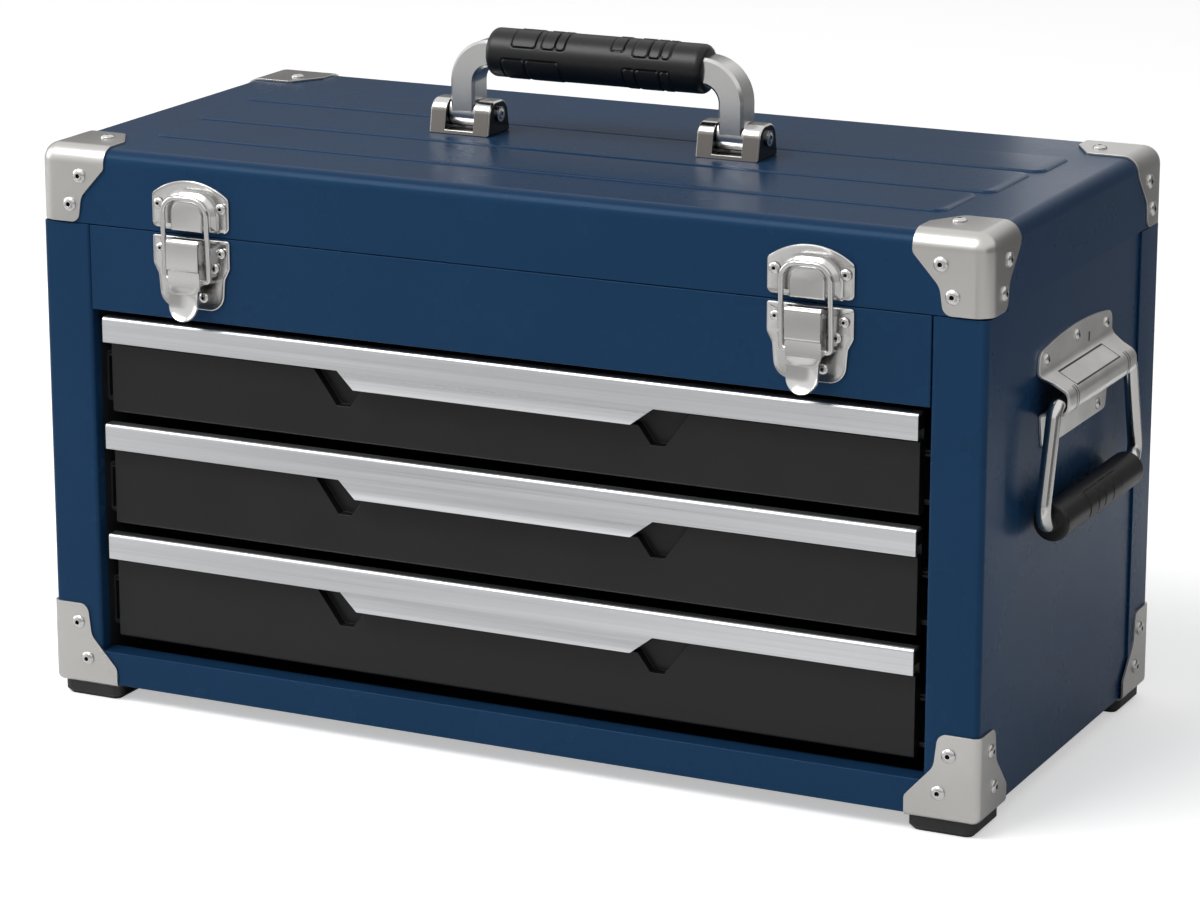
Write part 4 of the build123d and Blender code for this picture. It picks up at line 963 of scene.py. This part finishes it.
def make_card(name, place, aim, size, low, high, waves):
    """A grey card with soft edges that only shiny surfaces see: darker at its foot, or in waves along it."""
    material = bpy.data.materials.new(name)
    material.use_nodes = True
    tree = material.node_tree
    tree.nodes.clear()
    where = add(tree, "ShaderNodeTexCoord").outputs["Generated"]
    apart = add(tree, "ShaderNodeSeparateXYZ", {0: where}).outputs
    share = apart["Y"]
    if waves:
        turn = maths(tree, "MULTIPLY", apart["X"], math.tau * waves)
        share = maths(tree, "ADD", maths(tree, "MULTIPLY", maths(tree, "SINE", turn), 0.5), 0.5)
    level = add(tree, "ShaderNodeMapRange", {"Value": share, "To Min": low, "To Max": high}).outputs[0]
    soft = 1.0
    for axis in ("X", "Y"):
        inside = maths(tree, "MULTIPLY", apart[axis], maths(tree, "SUBTRACT", 1.0, apart[axis]))
        soft = maths(tree, "MULTIPLY", maths(tree, "MULTIPLY", inside, EDGE_FADE, clamp=True), soft)
    dark = maths(tree, "MULTIPLY", maths(tree, "SUBTRACT", 1.0, level), soft)
    level = maths(tree, "SUBTRACT", 1.0, dark)
    glow = add(tree, "ShaderNodeEmission", {"Color": (1, 1, 1, 1), "Strength": level})
    tree.links.new(glow.outputs[0], add(tree, "ShaderNodeOutputMaterial").inputs["Surface"])
    card = flat_sheet(name, 0.5, material)
    card.location = place
    card.rotation_euler = turned_to(place, aim)
    card.scale = (*size, 1)
    card.visible_camera = card.visible_diffuse = card.visible_shadow = card.visible_transmission = False


def make_floor(colour):
    """A pale floor that meets the white background."""
    material, tree, shader = new_material("pale floor", Roughness=0.85, Specular_IOR_Level=0.2)
    shader.inputs["Base Color"].default_value = (*colour, 1)
    rays = add(tree, "ShaderNodeLightPath")
    shader.inputs["Emission Color"].default_value = (1, 1, 1, 1)
    glow = maths(tree, "MULTIPLY", rays.outputs["Is Camera Ray"], FLOOR_GLOW)
    tree.links.new(glow, shader.inputs["Emission Strength"])
    flat_sheet("floor", FLOOR_SIZE, material)


class TOOLBOX_OT_stage(bpy.types.Operator):
    """Sets the camera, the soft light and the floor"""

    bl_idname = "toolbox.stage"
    bl_label = "Stage"

    def execute(self, context):
        stage = context.scene.toolbox_stage
        context.scene.view_settings.view_transform = "Standard"
        make_camera(stage)
        make_world(stage.surroundings)
        make_floor(stage.floor)
        for card in CARDS:
            make_card(*card)
        make_lamp("key", (-0.9, -1.5, 2.3), (0, 0, 0.2), (1.8, 1.2), stage.key_power)
        make_lamp("side", (-2.4, -0.6, 1.0), (0, 0, 0.2), (1.2, 1.4), stage.fill_power)
        return {"FINISHED"}


class TOOLBOX_OT_finishes(bpy.types.Operator):
    """Makes the finishes and puts them on every CAD node"""

    bl_idname = "toolbox.finishes"
    bl_label = "Finishes"

    def execute(self, context):
        FINISHES.update(make_finishes(context.scene.toolbox_finish))
        for node, obj in NODES.items():
            obj.data.materials.clear()
            # The runners get the dark inner paint rather than zinc: painted shade in the gap beside the drawer
            # faces
            obj.data.materials.append(FINISHES["inner_paint" if "runner" in node else SLOT_OF[node]])
        return {"FINISHED"}


class TOOLBOX_OT_painted_sheet(bpy.types.Operator):
    """Case, posts, rails and lid with smooth folds and eased edges"""

    bl_idname = "toolbox.painted_sheet"
    bl_label = "Painted sheet"

    def execute(self, context):
        dressed("case_wrapper", "case_sheet", 0.2)
        dressed("front_posts", "front_post_pair", 0.3)
        dressed("rear_posts", "rear_post_pair", 0.3)
        dressed("top_rail", "top_rail_pan", 0.0)
        dressed("bottom_rail", "bottom_rail_pan", 0.0)
        dressed("lid_shell", "lid_pressing", 0.0, 50.0)
        return {"FINISHED"}


class TOOLBOX_OT_corner_protectors(bpy.types.Operator):
    """Drawn corner protectors of the lid and the base"""

    bl_idname = "toolbox.corner_protectors"
    bl_label = "Corner protectors"

    def execute(self, context):
        for node in ("lid_corners_front", "lid_corners_rear", "base_corners_front", "base_corners_rear"):
            dressed(node, node + "_plate", 0.3)
        return {"FINISHED"}


class TOOLBOX_OT_latches(bpy.types.Operator):
    """Draw latches: strikes, bases, levers and wire loops"""

    bl_idname = "toolbox.latches"
    bl_label = "Latches"

    def execute(self, context):
        for side in SIDES:
            rimmed(f"latch_strike_{side}", f"strike_{side}")
            rimmed(f"latch_base_{side}", f"latch_plate_{side}")
            node = f"latch_lever_{side}"
            settle(lever_hood(side, f"lever_{side}"), node, stands_for=(node,))
            settle(lever_tongue(side, f"lever_tongue_{side}"), node)
            dressed(f"latch_bail_{side}", f"wire_loop_{side}", 0.0, 60.0)
        return {"FINISHED"}


class TOOLBOX_OT_drawers(bpy.types.Operator):
    """Drawer faces, pulls and trays"""

    bl_idname = "toolbox.drawers"
    bl_label = "Drawers"

    def execute(self, context):
        for name in DRAWERS:
            dressed(f"{name}_drawer_face", f"{name}_face_moulding", 0.4)
            dressed(f"{name}_drawer_pull", f"{name}_pull_strip", 0.25)
            dressed(f"{name}_drawer_tray", f"{name}_tray_sheet", 0.0)
        return {"FINISHED"}


class TOOLBOX_OT_carry_handle(bpy.types.Operator):
    """Carrying handle: bow, brackets and grip"""

    bl_idname = "toolbox.carry_handle"
    bl_label = "Carrying handle"

    def execute(self, context):
        dressed("handle_frame", "handle_bow", 0.0)
        for side in SIDES:
            dressed(f"handle_bracket_{side}", f"bracket_{side}", 0.4)
        low, high = span("handle_grip")
        middle = (low + high) / 2 / MM
        size = (high - low) / MM
        settings = context.scene.toolbox_grip
        form = padded_grip(size.z / 2, size.x, carry_pads(), settings, bore=6.8, end_round=3.5, corner=1.6)
        bmesh.ops.translate(form, verts=form.verts, vec=middle * MM)
        settle(smoothed(form, "carry_grip", 60.0), "handle_grip", stands_for=("handle_grip",))
        return {"FINISHED"}


class TOOLBOX_OT_side_handles(bpy.types.Operator):
    """Side handles: pressed plates, wire bails and grips"""

    bl_idname = "toolbox.side_handles"
    bl_label = "Side handles"

    def execute(self, context):
        for side in SIDES:
            dressed(f"side_plate_{side}", f"side_pressing_{side}", 0.3, finish="side_plate")
            # Painted shade along the pressed lines of the plate
            settle(plate_lines(side, f"side_pressing_lines_{side}"), f"side_plate_{side}", finish="painted_groove_shade")
            dressed(f"side_bail_{side}", f"side_wire_{side}", 0.0, 60.0)
            low, high = span(f"side_grip_{side}")
            size = (high - low) / MM
            settings = context.scene.toolbox_grip
            shape = {"bore": 3.7, "end_round": 1.6, "corner": 0.8, "sides": 96}
            form = padded_grip(size.z / 2, size.y, side_pads(), settings, **shape)
            turn = Matrix.Rotation(math.pi / 2 if side == "right" else -math.pi / 2, 4, "Z")
            bmesh.ops.transform(form, matrix=Matrix.Translation((low + high) / 2) @ turn, verts=form.verts)
            name = f"side_grip_sleeve_{side}"
            settle(smoothed(form, name, 60.0), f"side_grip_{side}", stands_for=(f"side_grip_{side}",))
        return {"FINISHED"}


class TOOLBOX_OT_rivets(bpy.types.Operator):
    """Domed rivet heads with a hole in the middle"""

    bl_idname = "toolbox.rivets"
    bl_label = "Rivets"

    def execute(self, context):
        tree = rivet_tree()
        settings = context.scene.toolbox_rivet
        for node in ("case_rivets", "lid_rivets"):
            rivet_heads(node, node + "_domed", tree, settings, rivet_places(node), (node,))
        rivet_heads("handle_pins", "handle_pin_heads", tree, settings, pin_places(), ())
        return {"FINISHED"}


class TOOLBOX_OT_feet(bpy.types.Operator):
    """Rubber feet"""

    bl_idname = "toolbox.feet"
    bl_label = "Feet"

    def execute(self, context):
        dressed("rubber_feet", "feet", 0.0)
        return {"FINISHED"}


STEPS = (
    TOOLBOX_OT_stage,
    TOOLBOX_OT_finishes,
    TOOLBOX_OT_painted_sheet,
    TOOLBOX_OT_corner_protectors,
    TOOLBOX_OT_latches,
    TOOLBOX_OT_drawers,
    TOOLBOX_OT_carry_handle,
    TOOLBOX_OT_side_handles,
    TOOLBOX_OT_rivets,
    TOOLBOX_OT_feet,
)
SETTINGS = {
    "toolbox_stage": StageSettings,
    "toolbox_finish": FinishSettings,
    "toolbox_rivet": RivetSettings,
    "toolbox_grip": GripSettings,
}


class TOOLBOX_PT_panel(bpy.types.Panel):
    """The tool box's steps and settings"""

    bl_label = "Tool box"
    bl_space_type = "VIEW_3D"
    bl_region_type = "UI"
    bl_category = "Tool box"

    def draw(self, context):
        for name, settings in SETTINGS.items():
            for key in settings.__annotations__:
                self.layout.prop(getattr(context.scene, name), key)
        for step in STEPS:
            self.layout.operator(step.bl_idname)


def register():
    for name, settings in SETTINGS.items():
        bpy.utils.register_class(settings)
        setattr(bpy.types.Scene, name, bpy.props.PointerProperty(type=settings))
    for step in STEPS:
        bpy.utils.register_class(step)
    bpy.utils.register_class(TOOLBOX_PT_panel)


def unregister():
    bpy.utils.unregister_class(TOOLBOX_PT_panel)
    for step in reversed(STEPS):
        bpy.utils.unregister_class(step)
    for name, settings in SETTINGS.items():
        delattr(bpy.types.Scene, name)
        bpy.utils.unregister_class(settings)


def main():
    register()
    for step in STEPS:
        section, call = step.bl_idname.split(".")
        getattr(getattr(bpy.ops, section), call)()


if __name__ == "__main__":
    main()
